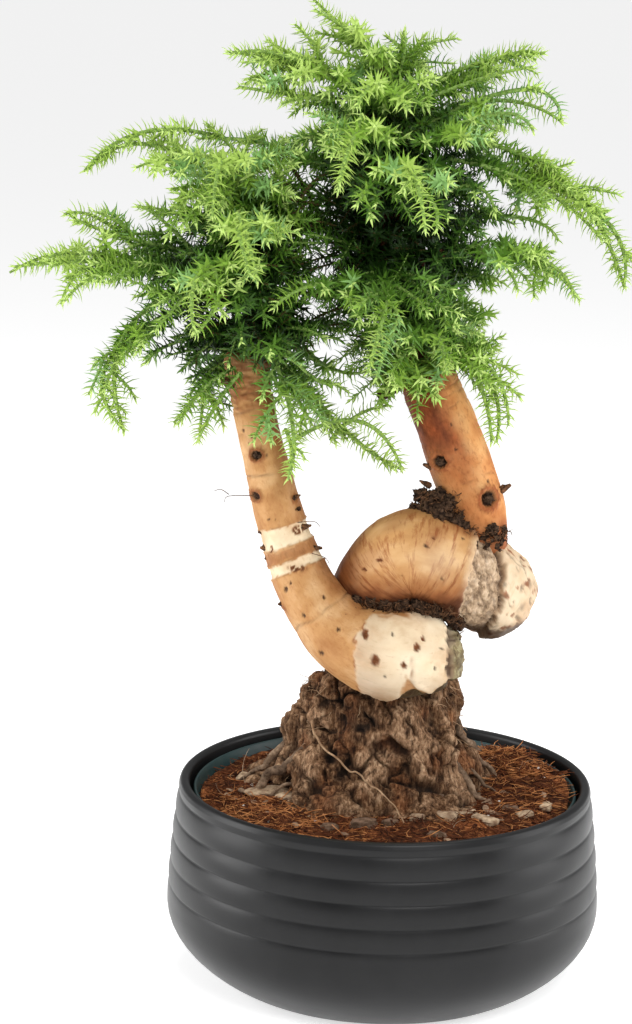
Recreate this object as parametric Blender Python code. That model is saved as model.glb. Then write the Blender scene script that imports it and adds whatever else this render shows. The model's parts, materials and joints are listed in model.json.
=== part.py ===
"""A potted hoop pine (araucaria) trained as a bonsai: a knotted double trunk in a ribbed bowl.

Metres, +Z up. The origin is the centre of the bowl's flat underside. Coordinates in the tables
are in millimetres and are turned into metres by point().
"""

import math
import random

import bmesh
import bpy
from mathutils import Matrix, Vector
from mathutils.bvhtree import BVHTree

MM = 0.001
GAP = 0.3                 # clear space between two solids that meet
UP = Vector((0, 0, 1))

# Driving dimensions, in millimetres.
POT_HEIGHT = 124.5
POT_LIP_RADIUS = 126.5    # outside, at the rounded lip
POT_BELLY_RADIUS = 134.0
POT_BASE_RADIUS = 93.0
POT_BELLY_HEIGHT = 47.0
POT_WALL = 5.5
POT_FLOOR = 7.0
RIB_GROOVES = (114.5, 101.5, 87.4, 73.0, 57.3)   # heights of the grooves between the ribs
RIB_DEPTH = 1.3
LINER_RIM_RADIUS = 118.0
LINER_BASE_RADIUS = 88.0
LINER_TOP = 119.0
LINER_WALL = 1.6
SOIL_TOP = 115.0
SOIL_CROWN = 2.0          # how far the soil rises towards the root stock

NEEDLE = 12.2             # length of a needle spike, larger than life
TIP_SPIKE = 6.7           # the bud that ends a shoot
RING_STEP = 8.2           # a spike's footprint along its shoot
STEM_RADIUS = 1.9
SHOOT_SIDES = 3
NEEDLE_LEAN = math.radians(62)
RINGS_PER_MASS = 20
SISTER_SPACE = 4.5        # a needle nearer than this to a sister shoot is left off
TWIN_SPACE = 1.2          # a spike stays this much nearer to its own spine than to another mass's

# The limbs' stations, each (x, y, z, radius), from the foot to the tip.
LEFT_TRUNK = (
    (19, -25, 210, 25.5), (5, -29, 211, 27.5), (-11, -30, 214, 26),
    (-29, -26, 223, 23), (-46, -20, 242, 20), (-58, -14, 267, 17.8), (-67.5, -10, 298, 16.5),
    (-76, -6, 329, 15.2), (-82.5, -4, 357, 14.4), (-86.5, -2, 375, 15), (-87.5, -2, 385, 16),
)
UPPER_BURL = (
    (-4, 24, 184, 22), (-13, 16, 212, 24), (-9, -1, 244, 26.5), (9, -12, 266, 28.5),
    (33, -12, 262, 30), (52.5, -4, 250, 30.5), (61, 2.5, 244.5, 28.3),
)
RIGHT_TRUNK = (
    (57, -6, 268, 14), (54, -6, 284, 16.5), (49, -3, 302, 18), (40, 2, 325, 19),
    (32, 4, 346, 18.3), (24, 6, 364, 17.6), (20, 6, 376, 17),
)
LEFT_LEADER = (
    (-87.5, 0, 386.2, 5.4), (-86, 2, 420, 4.8), (-88, 2, 450, 4.0), (-91, 0, 472, 3.4), (-92, 0, 490, 2.4),
)
RIGHT_LEADER = (
    (17.6, 7, 377.4, 7.2), (7.5, 10, 400, 6.1), (-2, 10, 427, 5.4), (-8.5, 8, 454, 4.8),
    (-10, 6, 487, 4.1), (-10, 4, 522, 3.1), (-11, 2, 560, 2.0),
)
ROOT_STOCK_CENTRE = (-4, 8)
ROOT_STOCK_TOP = 200.0
ROOT_STOCK_FOOT = (66, 50)      # half widths at the soil, across and deep
ROOT_STOCK_NECK = (46, 34)      # half widths under the burls
BUTTRESSES = (158, 42, -62, -118, 95)   # directions of the flaring roots, in degrees
BUTTRESS_REACH = 20.0

# Foliage. Each mass is (name, limb, place along it, a point its spine passes, tip, forks). A fork is
# (place along the spine, tip).
MASSES = (
    ("left_far", "bough_left_far", 1.0, (-170, -8, 443), (-232, -5, 438), ((0.42, (-199, -30, 420)),)),
    ("left_high", "left_leader", 0.44, (-161, 2, 456), (-200, 6, 470), ((0.62, (-181, 22, 471)),)),
    ("left_high_back", "left_leader", 0.62, (-133, 34, 467), (-159, 44, 470), ()),
    ("left_arch", "left_leader", 0.86, (-147, 4, 511), (-188, 0, 495), ((0.30, (-138, -16, 495)),)),
    ("left_plume", "left_leader", 0.84, (-103, -44, 508), (-109, -66, 474), ((0.25, (-130, -48, 467)),)),
    ("left_front_high", "left_leader", 0.58, (-94, -56, 472), (-85, -80, 443), ()),
    ("left_front_low", "left_leader", 0.40, (-115, -56, 445), (-118, -76, 409), ((0.25, (-144, -56, 407)),)),
    ("left_droop", "bough_left_low", 1.0, (-170, -18, 386), (-160, -22, 340), ((0.12, (-160, -10, 423)),)),
    ("left_low_back", "left_leader", 0.16, (-128, 10, 394), (-155, 18, 379), ()),
    ("left_under", "left_leader", 0.12, (-112, 20, 368), (-136, 24, 337), ((0.6, (-118, 12, 327)),)),
    ("left_inner_plume", "left_leader", 0.17, (-62, -38, 360), (-63, -42, 316), ((0.4, (-38, -34, 348)),)),
    ("left_inner_reach", "left_leader", 0.11, (-31, 0, 344), (9, -6, 318), ()),
    ("left_inner_back", "left_leader", 0.22, (-44, 28, 378), (-12, 38, 372), ((0.3, (-26, 30, 402)),)),
    ("left_inner_front", "left_leader", 0.26, (-56, -22, 384), (-30, -24, 374), ((0.3, (-38, -30, 402)), (0.4, (-28, -8, 398)))),
    ("left_inner_high", "left_leader", 0.60, (-62, 12, 470), (-34, 20, 462), ((0.3, (-48, 34, 486)), (0.2, (-48, 6, 446)))),
    ("left_crest", "left_leader", 1.0, (-92, 2, 508), (-80, 6, 525), ()),
    ("left_rear_high", "left_leader", 0.76, (-102, 46, 494), (-108, 84, 486), ((0.3, (-72, 66, 500)),)),
    ("left_rear_left", "left_leader", 0.36, (-132, 48, 438), (-168, 82, 424), ((0.35, (-166, 46, 432)),)),
    ("left_rear_middle", "left_leader", 0.46, (-90, 64, 446), (-84, 108, 424), ((0.35, (-56, 88, 430)),)),
    ("left_rear_low", "left_leader", 0.13, (-102, 48, 378), (-108, 80, 352), ((0.3, (-66, 66, 366)),)),
    ("right_top", "right_leader", 1.0, (-30, -6, 579), (-56, -10, 595), ()),
    ("right_crest", "right_leader", 0.90, (-1, -4, 561), (1, -4, 583), ((0.3, (14, 8, 565)),)),
    ("right_upper_left", "right_leader", 0.88, (-62, -14, 564), (-105, -16, 567),
     ((0.40, (-63, -6, 584)), (0.46, (-97, 4, 547)), (0.30, (-98, 20, 560)))),
    ("right_upper_front", "right_leader", 0.86, (-16, -46, 554), (-30, -70, 540), ((0.4, (4, -64, 540)),)),
    ("right_left_reach", "right_leader", 0.66, (-67, 16, 509), (-125, 22, 514), ()),
    ("right_left_low", "right_leader", 0.76, (-42, -2, 536), (-69, 0, 530), ((0.3, (-54, 18, 512)),)),
    ("right_upper_right", "right_leader", 0.84, (49, 0, 563), (85, 0, 570), ((0.4, (62, -12, 556)),)),
    ("right_middle_right", "right_leader", 0.80, (65, -14, 549), (96, -18, 531), ()),
    ("right_fan", "right_leader", 0.72, (47, -40, 536), (78, -52, 528), ((0.35, (38, -64, 525)),)),
    ("right_far", "bough_right_far", 1.0, (111, -8, 482), (135, -14, 431), ((0.30, (89, 14, 474)),)),
    ("right_far_back", "right_leader", 0.56, (67, 30, 470), (101, 36, 453), ()),
    ("right_low", "bough_right_low", 1.0, (79, -22, 453), (107, -28, 427), ((0.34, (71, -42, 432)),)),
    ("right_low_back", "right_leader", 0.38, (45, 34, 432), (62, 50, 420), ((0.3, (62, 22, 458)),)),
    ("right_hang", "right_leader", 0.10, (54, -10, 379), (62, -16, 336), ((0.3, (62, 4, 391)),)),
    ("right_front_foot", "right_leader", 0.18, (22, -34, 408), (30, -54, 386), ((0.3, (-10, -36, 398)),)),
    ("right_front_long", "right_leader", 0.42, (-7, -56, 431), (-19, -78, 388), ((0.25, (30, -58, 423)),)),
    ("right_front_left", "right_leader", 0.36, (-47, -40, 437), (-76, -58, 423), ((0.42, (-27, -62, 424)),)),
    ("right_front_curve", "right_leader", 0.78, (-26, -62, 528), (-38, -80, 494), ()),
    ("right_front_plume", "right_leader", 0.68, (3, -70, 509), (14, -86, 471), ((0.25, (-28, -66, 485)),)),
    ("right_inner_right", "right_leader", 0.54, (36, -26, 494), (57, -44, 478), ((0.3, (48, 2, 500)),)),
    ("right_rear_top", "right_leader", 0.90, (-14, 40, 562), (-18, 76, 552), ((0.4, (24, 60, 550)),)),
    ("right_rear_left", "right_leader", 0.62, (-42, 58, 512), (-68, 100, 498), ((0.35, (-30, 96, 506)),)),
    ("right_rear_middle", "right_leader", 0.46, (0, 70, 482), (2, 124, 458), ((0.35, (-34, 106, 452)),)),
    ("right_rear_right", "right_leader", 0.72, (32, 50, 530), (68, 88, 514), ((0.35, (84, 52, 498)),)),
    ("right_rear_low", "right_leader", 0.22, (34, 48, 414), (52, 82, 394), ((0.3, (6, 80, 402)),)),
)
FORK_LIFT = 9.0           # how high a fork arches
BOUGH_ARCH = 6.0
SIDE_REACH = 42.0         # length of the longest side shoot
SIDE_LEAN = math.radians(56)
SIDE_PLACES = (0.34, 0.48, 0.60, 0.71, 0.81, 0.25, 0.90)


def point(x, y, z):
    return Vector((x, y, z)) * MM


def material(name, colour, roughness):
    made = bpy.data.materials.new(name)
    made.use_nodes = True
    shader = made.node_tree.nodes["Principled BSDF"]
    shader.inputs["Base Color"].default_value = (*colour, 1)
    shader.inputs["Roughness"].default_value = roughness
    shader.inputs["Metallic"].default_value = 0
    return made


def object_from(name, mesh_data, finish, smooth_angle=40):
    """Links a bmesh as a named object with its normals facing out."""
    bmesh.ops.recalc_face_normals(mesh_data, faces=mesh_data.faces)
    mesh = bpy.data.meshes.new(name)
    mesh_data.to_mesh(mesh)
    mesh_data.free()
    mesh.shade_smooth()
    mesh.set_sharp_from_angle(angle=math.radians(smooth_angle))
    made = bpy.data.objects.new(name, mesh)
    made.data.materials.append(finish)
    bpy.context.scene.collection.objects.link(made)
    return made


# ---------------------------------------------------------------- turned pieces


def turned(name, profile, segments, finish):
    """Spins a closed outline of (radius, height) about the vertical axis."""
    work = bmesh.new()
    verts = [work.verts.new(point(r, 0, z)) for r, z in profile]
    edges = [work.edges.new(pair) for pair in zip(verts, verts[1:])]
    bmesh.ops.spin(
        work, geom=verts + edges, cent=(0, 0, 0), axis=(0, 0, 1), dvec=(0, 0, 0),
        angle=2 * math.pi, steps=segments, use_merge=True,
    )
    bmesh.ops.remove_doubles(work, verts=work.verts, dist=1e-6)
    return object_from(name, work, finish)


def pot_outside(z):
    """Radius of the bowl's outer wall at a height, without its ribs."""
    if z < POT_BELLY_HEIGHT:
        share = (POT_BELLY_HEIGHT - z) / POT_BELLY_HEIGHT
        swell = max(1 - share ** 2.0, 0) ** 0.88
        return POT_BASE_RADIUS + (POT_BELLY_RADIUS - POT_BASE_RADIUS) * swell
    share = (z - POT_BELLY_HEIGHT) / (POT_HEIGHT - POT_BELLY_HEIGHT)
    return POT_BELLY_RADIUS - (POT_BELLY_RADIUS - POT_LIP_RADIUS) * share ** 1.6


def make_pot(finish):
    outside = [(POT_LIP_RADIUS - 3.2, POT_HEIGHT), (POT_LIP_RADIUS, POT_HEIGHT - 2.2)]
    for top, below in zip(RIB_GROOVES, RIB_GROOVES[1:] + (44.0,)):
        outside.append((pot_outside(top) - RIB_DEPTH, top))
        outside.append((pot_outside(top - 3.5) + 0.3, top - 3.5))
        outside.append((pot_outside(below + 2.5) + 0.3, below + 2.5))
    for share in (0.72, 0.48, 0.28, 0.13, 0.03):
        z = POT_BELLY_HEIGHT * share
        outside.append((pot_outside(z), z))
    outside += [(POT_BASE_RADIUS - 2, 0), (0, 0)]
    inside = [(0, POT_FLOOR), (POT_BASE_RADIUS - 2, POT_FLOOR)]
    for z in (16, 44, 100):
        inside.append((pot_outside(z) - POT_WALL - RIB_DEPTH, z))
    inside.append((POT_LIP_RADIUS - 6.2, POT_HEIGHT - 1.6))
    return turned("pot", inside + outside, 36, finish)


def make_liner(finish):
    """The thin nursery pot that stands in the bowl."""
    foot = POT_FLOOR + GAP
    profile = [
        (0, foot + LINER_WALL), (LINER_BASE_RADIUS - LINER_WALL, foot + LINER_WALL),
        (LINER_RIM_RADIUS - LINER_WALL, LINER_TOP), (LINER_RIM_RADIUS, LINER_TOP),
        (LINER_RIM_RADIUS, LINER_TOP - 5), (LINER_RIM_RADIUS - 2.2, LINER_TOP - 6),
        (LINER_BASE_RADIUS, foot), (0, foot),
    ]
    return turned("nursery_pot", profile, 36, finish)


def liner_inside(z):
    low = POT_FLOOR + GAP + LINER_WALL
    share = (z - low) / (LINER_TOP - low)
    return LINER_BASE_RADIUS + (LINER_RIM_RADIUS - LINER_BASE_RADIUS) * share - LINER_WALL


def make_soil(finish):
    """The potting soil, level under the root stock and falling a little to the liner's wall."""
    foot = POT_FLOOR + LINER_WALL + 2 * GAP
    level = SOIL_TOP - GAP
    edge = level - SOIL_CROWN
    profile = [
        (0, level), (86, level), (100, level - SOIL_CROWN * 0.6), (liner_inside(edge) - 0.6, edge),
        (liner_inside(foot) - 0.6, foot), (0, foot),
    ]
    return turned("soil", profile, 36, finish)


# ---------------------------------------------------------------- limbs


def curve_through(stations, steps):
    """A Catmull-Rom curve through (x, y, z, radius) stations, as (centre, radius) in metres."""
    ends = [stations[0], *stations, stations[-1]]
    found = []
    for k in range(len(stations) - 1):
        a, b, c, d = ends[k:k + 4]
        for j in range(steps):
            t = j / steps
            value = [
                0.5 * (2 * q + (r - p) * t + (2 * p - 5 * q + 4 * r - s) * t ** 2
                       + (3 * q - p - 3 * r + s) * t ** 3)
                for p, q, r, s in zip(a, b, c, d)
            ]
            found.append((point(*value[:3]), value[3] * MM))
    found.append((point(*stations[-1][:3]), stations[-1][3] * MM))
    return found


def frames_along(centres):
    """A direction and two cross axes for each point, carried along without twist."""
    frames = []
    across = None
    for k, centre in enumerate(centres):
        before = centres[max(k - 1, 0)]
        after = centres[min(k + 1, len(centres) - 1)]
        along = (after - before).normalized()
        if across is None:
            guide = Vector((0, 1, 0)) if abs(along.y) < 0.8 else Vector((1, 0, 0))
            across = along.cross(guide).normalized()
        across = (across - along * across.dot(along)).normalized()
        frames.append((along, across, along.cross(across)))
    return frames


def limb_mesh(stations, sides, steps, round_foot=False, grow=0.0):
    """A tapering limb of round section. grow makes it fatter all over, in millimetres."""
    line = curve_through(stations, steps)
    centres = [centre for centre, radius in line]
    radii = [radius + grow * MM for centre, radius in line]
    frames = frames_along(centres)
    rings = list(zip(centres, radii, frames))
    if round_foot:
        centre, radius, frame = rings[0]
        dome = [(centre - frame[0] * radius * math.sin(a), radius * math.cos(a), frame)
                for a in (math.radians(66), math.radians(34))]
        rings = dome + rings
        foot_tip = centre - frame[0] * radius
    else:
        foot_tip = centres[0] - frames[0][0] * grow * MM
    tip = centres[-1] + frames[-1][0] * grow * MM
    work = bmesh.new()
    loops = []
    for centre, radius, (along, across, other) in rings:
        loops.append([
            work.verts.new(centre + radius * (across * math.cos(a) + other * math.sin(a)))
            for a in (2 * math.pi * n / sides for n in range(sides))
        ])
    for low, high in zip(loops, loops[1:]):
        for n in range(sides):
            m = (n + 1) % sides
            work.faces.new((low[n], low[m], high[m], high[n]))
    for loop, end in ((loops[0], foot_tip), (loops[-1], tip)):
        middle = work.verts.new(end)
        for n in range(sides):
            work.faces.new((loop[n], loop[(n + 1) % sides], middle))
    return work


def make_limb(name, stations, sides, steps, finish, round_foot=False):
    return object_from(name, limb_mesh(stations, sides, steps, round_foot), finish)


def cut_clear(target, stations, sides, steps, round_foot=False):
    """Cuts target back to stand clear of a limb."""
    cutter = object_from("cutter", limb_mesh(stations, sides, steps, round_foot, grow=GAP + 0.15), target.data.materials[0])
    boolean = target.modifiers.new("clear", "BOOLEAN")
    boolean.operation = "DIFFERENCE"
    boolean.solver = "EXACT"
    boolean.object = cutter
    apply_modifiers(target)
    bpy.data.objects.remove(cutter)


def apply_modifiers(target):
    graph = bpy.context.evaluated_depsgraph_get()
    mesh = bpy.data.meshes.new_from_object(target.evaluated_get(graph))
    target.modifiers.clear()
    target.data = mesh


def make_root_stock(finish):
    """The gnarled stock: a mound with flaring buttresses, cut flat at the soil."""
    cx, cy = ROOT_STOCK_CENTRE
    levels = (SOIL_TOP, SOIL_TOP + 6, SOIL_TOP + 16, SOIL_TOP + 30, SOIL_TOP + 48, SOIL_TOP + 68,
              SOIL_TOP + 82, ROOT_STOCK_TOP)
    sides = 24
    work = bmesh.new()
    loops = []
    for z in levels:
        share = (z - SOIL_TOP) / (ROOT_STOCK_TOP - SOIL_TOP)
        flare = (1 - share) ** 2.2
        crown = math.sqrt(max(1 - max(share - 0.62, 0) ** 2 / 0.165, 0.0))
        loop = []
        for n in range(sides):
            a = 2 * math.pi * n / sides
            ridge = sum(
                max(math.cos(a - math.radians(b)), 0) ** 14 for b in BUTTRESSES
            )
            wide = ROOT_STOCK_NECK[0] + (ROOT_STOCK_FOOT[0] - ROOT_STOCK_NECK[0]) * flare
            deep = ROOT_STOCK_NECK[1] + (ROOT_STOCK_FOOT[1] - ROOT_STOCK_NECK[1]) * flare
            lump = 1 + 0.05 * math.sin(3 * a + z * 0.11) + 0.04 * math.sin(5 * a - z * 0.17)
            reach = BUTTRESS_REACH * ridge * (1 - share) ** 3.0
            loop.append(work.verts.new(point(
                cx + (wide * lump * crown + reach) * math.cos(a),
                cy + (deep * lump * crown + reach) * math.sin(a),
                z,
            )))
        loops.append(loop)
    for low, high in zip(loops, loops[1:]):
        for n in range(sides):
            m = (n + 1) % sides
            work.faces.new((low[n], low[m], high[m], high[n]))
    work.faces.new(loops[0])
    work.faces.new(loops[-1])
    return object_from("root_stock", work, finish)


# ---------------------------------------------------------------- foliage


def bezier(start, bend, end, t):
    return start * (1 - t) ** 2 + bend * 2 * t * (1 - t) + end * t ** 2


def arc_points(start, bend, end, step):
    """Points on a bent line, evenly about one step apart."""
    fine = [bezier(start, bend, end, k / 40) for k in range(41)]
    length = sum((b - a).length for a, b in zip(fine, fine[1:]))
    count = max(2, round(length / step))
    found, walked, target = [fine[0]], 0.0, length / count
    for a, b in zip(fine, fine[1:]):
        walked += (b - a).length
        while len(found) < count and walked >= target * len(found):
            found.append(b)
    return found + [fine[-1]]


def place_on(stations, share):
    """(centre, radius, direction) at a share of a limb's height."""
    line = curve_through(stations, 6)
    at = min(int(share * (len(line) - 1)), len(line) - 2)
    along = (line[at + 1][0] - line[at][0]).normalized()
    t = share * (len(line) - 1) - at
    centre = line[at][0].lerp(line[at + 1][0], t)
    return centre, line[at][1] * (1 - t) + line[at + 1][1] * t, along


def spine_of(limb, share, passing, tip):
    """Start, bend and end of a mass's main shoot, standing clear of its limb."""
    centre, radius, along = place_on(limb, share)
    end = point(*tip)
    middle = point(*passing)
    heading = (middle * 2 - (centre + end) / 2 - centre).normalized()
    end -= (end - middle).normalized() * TIP_SPIKE * MM
    if share < 1:
        out = (heading - along * heading.dot(along)).normalized()
        start = centre + out * (radius + (GAP + STEM_RADIUS * abs(heading.dot(along))) * MM)
    else:
        start = centre + along * (GAP + STEM_RADIUS * heading.cross(along).length) * MM
    return start, middle * 2 - (start + end) / 2, end


class Spaces:
    """Says which mass a place belongs to, and how near a limb it is."""

    def __init__(self):
        self.spines = {}
        self.limbs = []

    def add_spine(self, name, points):
        self.spines.setdefault(name, []).extend(points)

    def add_limb(self, made, margin):
        graph = bpy.context.evaluated_depsgraph_get()
        self.limbs.append((BVHTree.FromObject(made, graph), margin * MM))

    def own(self, name, place):
        mine = min((place - p).length for p in self.spines[name])
        others = min(
            (place - p).length
            for other, points in self.spines.items() if other != name
            for p in points
        )
        return mine + TWIN_SPACE * MM < others

    def clear(self, place):
        for tree, margin in self.limbs:
            nearest, normal, index, distance = tree.find_nearest(place)
            if distance < margin or (place - nearest).dot(normal) < 0:
                return False
        return True


def spiked_shoot(name, points, finish, spaces, mass, chance, rooted, sisters):
    """A three-sided shoot whose faces are drawn out into needles.

    A rooted shoot starts thin and bare, sunk in the shoot that carries it. A needle is left off
    where it would leave its mass's space, touch a limb or run into a sister shoot.
    """
    frames = frames_along(points)
    count = len(points)
    work = bmesh.new()
    loops = []
    twist = chance.uniform(0, 2 * math.pi)
    for k, (centre, (along, across, other)) in enumerate(zip(points, frames)):
        radius = STEM_RADIUS * MM * (1.0 - 0.45 * k / (count - 1))
        if rooted:
            radius *= 0.3 if k == 0 else 0.8
        turn = twist + k * math.radians(24)
        loops.append([
            work.verts.new(centre + radius * (across * math.cos(a) + other * math.sin(a)))
            for a in (turn + 2 * math.pi * n / SHOOT_SIDES for n in range(SHOOT_SIDES))
        ])
    for k, (low, high) in enumerate(zip(loops, loops[1:])):
        along = frames[k][0]
        middle = (points[k] + points[k + 1]) / 2
        short = 0.72 if k == count - 2 else 1.0
        for n in range(SHOOT_SIDES):
            m = (n + 1) % SHOOT_SIDES
            corners = (low[n], low[m], high[m], high[n])
            foot = sum((v.co for v in corners), Vector()) / 4
            out = foot - middle
            out = (out - along * out.dot(along)).normalized()
            reach = NEEDLE * MM * short * chance.uniform(0.88, 1.08)
            apex = foot + (out * math.sin(NEEDLE_LEAN) + along * math.cos(NEEDLE_LEAN)) * reach
            half = foot.lerp(apex, 0.5)
            bare = rooted and k == 0
            crowded = any(min((s - apex).length, (s - half).length) < SISTER_SPACE * MM for s in sisters)
            free = spaces.own(mass, apex) and all(spaces.clear(foot.lerp(apex, t)) for t in (0.2, 0.5, 1))
            if free and not (bare or crowded):
                peak = work.verts.new(apex)
                for v, w in zip(corners, corners[1:] + corners[:1]):
                    work.faces.new((v, w, peak))
            else:
                work.faces.new(corners[:3])
                work.faces.new((corners[2], corners[3], corners[0]))
    work.faces.new(loops[0])
    tip = work.verts.new(points[-1] + frames[-1][0] * TIP_SPIKE * MM)
    for n in range(SHOOT_SIDES):
        work.faces.new((loops[-1][n], loops[-1][(n + 1) % SHOOT_SIDES], tip))
    made = object_from(name, work, finish, smooth_angle=20)
    return made


def side_shoot(spine, place, side, chance):
    """Points of one side shoot: out from the spine, leaning forward and hanging at its end."""
    at = max(1, min(round(place * (len(spine) - 1)), len(spine) - 2))
    along = (spine[at + 1] - spine[at - 1]).normalized()
    across = along.cross(UP)
    if across.length < 0.3:
        across = along.cross(Vector((0, 1, 0)))
    across.normalize()
    lift = across.cross(along)
    roll = math.radians(chance.uniform(-25, 25)) + (0 if side > 0 else math.pi)
    out = across * math.cos(roll) + lift * math.sin(roll)
    length = SIDE_REACH * MM * (1.05 - 0.55 * place) * chance.uniform(0.85, 1.1)
    start = spine[at]
    heading = along * math.cos(SIDE_LEAN) + out * math.sin(SIDE_LEAN)
    bend = start + heading * length * 0.55
    end = bend + (heading * 0.4 + along * 0.25 - UP * 0.28).normalized() * length * 0.5
    return arc_points(start, bend, end, RING_STEP * MM)


def kept_part(points, spaces, mass):
    """The shoot up to where it would leave its own space or meet a limb."""
    kept = []
    for k, place in enumerate(points):
        if k > 1 and not (spaces.own(mass, place) and spaces.clear(place)):
            break
        kept.append(place)
    return kept


def join_shoots(name, shoots):
    """One Boolean union of the first shoot with all the others."""
    first, others = shoots[0], shoots[1:]
    first.name = name
    first.data.name = name
    if others:
        helpers = bpy.data.collections.new(name + "_shoots")
        bpy.context.scene.collection.children.link(helpers)
        for shoot in others:
            bpy.context.scene.collection.objects.unlink(shoot)
            helpers.objects.link(shoot)
        boolean = first.modifiers.new("join", "BOOLEAN")
        boolean.operation = "UNION"
        boolean.solver = "MANIFOLD"
        boolean.operand_type = "COLLECTION"
        boolean.collection = helpers
        apply_modifiers(first)
        for shoot in others:
            bpy.data.objects.remove(shoot)
        bpy.data.collections.remove(helpers)
    return first


def make_mass(number, name, spine, forks, finish, spaces):
    chance = random.Random(700 + number)
    lines = [spine] + forks
    spent = sum(len(line) - 1 for line in lines)
    side = 1 if number % 2 else -1
    for place in SIDE_PLACES:
        if spent >= RINGS_PER_MASS:
            break
        side = -side
        line = kept_part(side_shoot(spine, place, side, chance), spaces, name)
        if len(line) < 4:
            continue
        lines.append(line)
        spent += len(line) - 1
    shoots = []
    for k, line in enumerate(lines):
        sisters = [p for other in lines if other is not line for p in other[1:]]
        sisters = [p for p in sisters if (p - line[0]).length > 1e-6]
        shoots.append(
            spiked_shoot(f"{name}_shoot{k}", line, finish, spaces, name, chance, k > 0, sisters)
        )
    return join_shoots(name, shoots)


# ---------------------------------------------------------------- the whole plant


def main():
    for old in list(bpy.data.objects):
        bpy.data.objects.remove(old)

    glaze = material("bowl_glaze", (0.045, 0.045, 0.048), 0.5)
    plastic = material("liner_plastic", (0.05, 0.09, 0.09), 0.5)
    earth = material("soil", (0.16, 0.06, 0.03), 0.95)
    bark = material("bark", (0.56, 0.31, 0.15), 0.7)
    old_bark = material("root_bark", (0.24, 0.17, 0.12), 0.9)
    twig_bark = material("twig_bark", (0.25, 0.12, 0.06), 0.8)
    needles = material("needles", (0.13, 0.32, 0.06), 0.55)

    make_pot(glaze)
    make_liner(plastic)
    make_soil(earth)

    root_stock = make_root_stock(old_bark)
    left_trunk = make_limb("left_trunk", LEFT_TRUNK, 16, 2, bark, round_foot=True)
    upper_burl = make_limb("upper_burl", UPPER_BURL[::-1], 14, 3, bark, round_foot=True)
    right_trunk = make_limb("right_trunk", RIGHT_TRUNK, 14, 2, bark, round_foot=True)
    cut_clear(upper_burl, LEFT_TRUNK, 16, 2, round_foot=True)
    cut_clear(root_stock, LEFT_TRUNK, 16, 2, round_foot=True)
    cut_clear(root_stock, UPPER_BURL[::-1], 14, 3, round_foot=True)
    cut_clear(right_trunk, UPPER_BURL[::-1], 14, 3, round_foot=True)

    limbs = {"left_leader": LEFT_LEADER, "right_leader": RIGHT_LEADER}
    limbs["bough_left_far"] = bough_from(LEFT_LEADER, 0.30, (-116, -4, 437), 3.0, 2.2)
    limbs["bough_left_low"] = bough_from(LEFT_LEADER, 0.22, (-112, -16, 424), 2.8, 2.1)
    limbs["bough_right_far"] = bough_from(RIGHT_LEADER, 0.58, (22, -2, 508), 3.2, 2.3)
    limbs["bough_right_low"] = bough_from(RIGHT_LEADER, 0.34, (26, -8, 452), 3.2, 2.3)
    limbs["dead_stub"] = ((2.1, 5, 370, 3.6), (-3, 0, 368.5, 4.2), (-8.5, -4, 364, 3.0))

    spaces = Spaces()
    for name, stations in limbs.items():
        made = make_limb(name, stations, 8 if "leader" in name else 6, 2, twig_bark)
        spaces.add_limb(made, 0.5)
    for made in (left_trunk, right_trunk, upper_burl, root_stock):
        spaces.add_limb(made, 0.8)

    spines = []
    for name, limb, share, passing, tip, forks in MASSES:
        spine = arc_points(*spine_of(limbs[limb], share, passing, tip), RING_STEP * MM)
        branches = []
        for place, fork_tip in forks:
            root = spine[round(place * (len(spine) - 1))]
            end = point(*fork_tip)
            end -= (end - root).normalized() * TIP_SPIKE * MM
            branches.append(arc_points(root, (root + end) / 2 + UP * FORK_LIFT * MM, end, RING_STEP * MM))
        spines.append((name, spine, branches))
        for line in [spine] + branches:
            spaces.add_spine(name, line)
            spaces.add_spine(name, [(a + b) / 2 for a, b in zip(line, line[1:])])
    for number, (name, spine, branches) in enumerate(spines):
        make_mass(number, name, spine, branches, needles, spaces)


def bough_from(leader, share, tip, thick, thin):
    """Stations of a short bough that leaves a leader GAP clear and ends inside its mass."""
    centre, radius, along = place_on(leader, share)
    centre, radius = centre / MM, radius / MM
    end = Vector(tip)
    middle = (centre + end) / 2 + UP * BOUGH_ARCH
    out = end - centre
    out = (out - along * out.dot(along)).normalized()
    lean = abs((middle - centre).normalized().dot(along))
    foot = centre + out * (radius + GAP + thick * lean * 1.15)
    middle = (foot + end) / 2 + UP * BOUGH_ARCH
    return tuple((*p, r) for p, r in ((foot, thick), (middle, (thick + thin) / 2), (end, thin)))


main()
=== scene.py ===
"""A potted hoop pine trained as a bonsai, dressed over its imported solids: ribbed bowl, coir,
gnarled stock, knotted double trunk with burls, and a crown of needled shoots.

Sizes are in millimetres and are turned into metres where a mesh is made. +Z is up, and the
origin is the centre of the bowl's flat underside.
"""

import json
import math
import random

import bmesh
import bpy
import numpy as np
from mathutils import Matrix, Vector, noise
from mathutils.bvhtree import BVHTree

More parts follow.
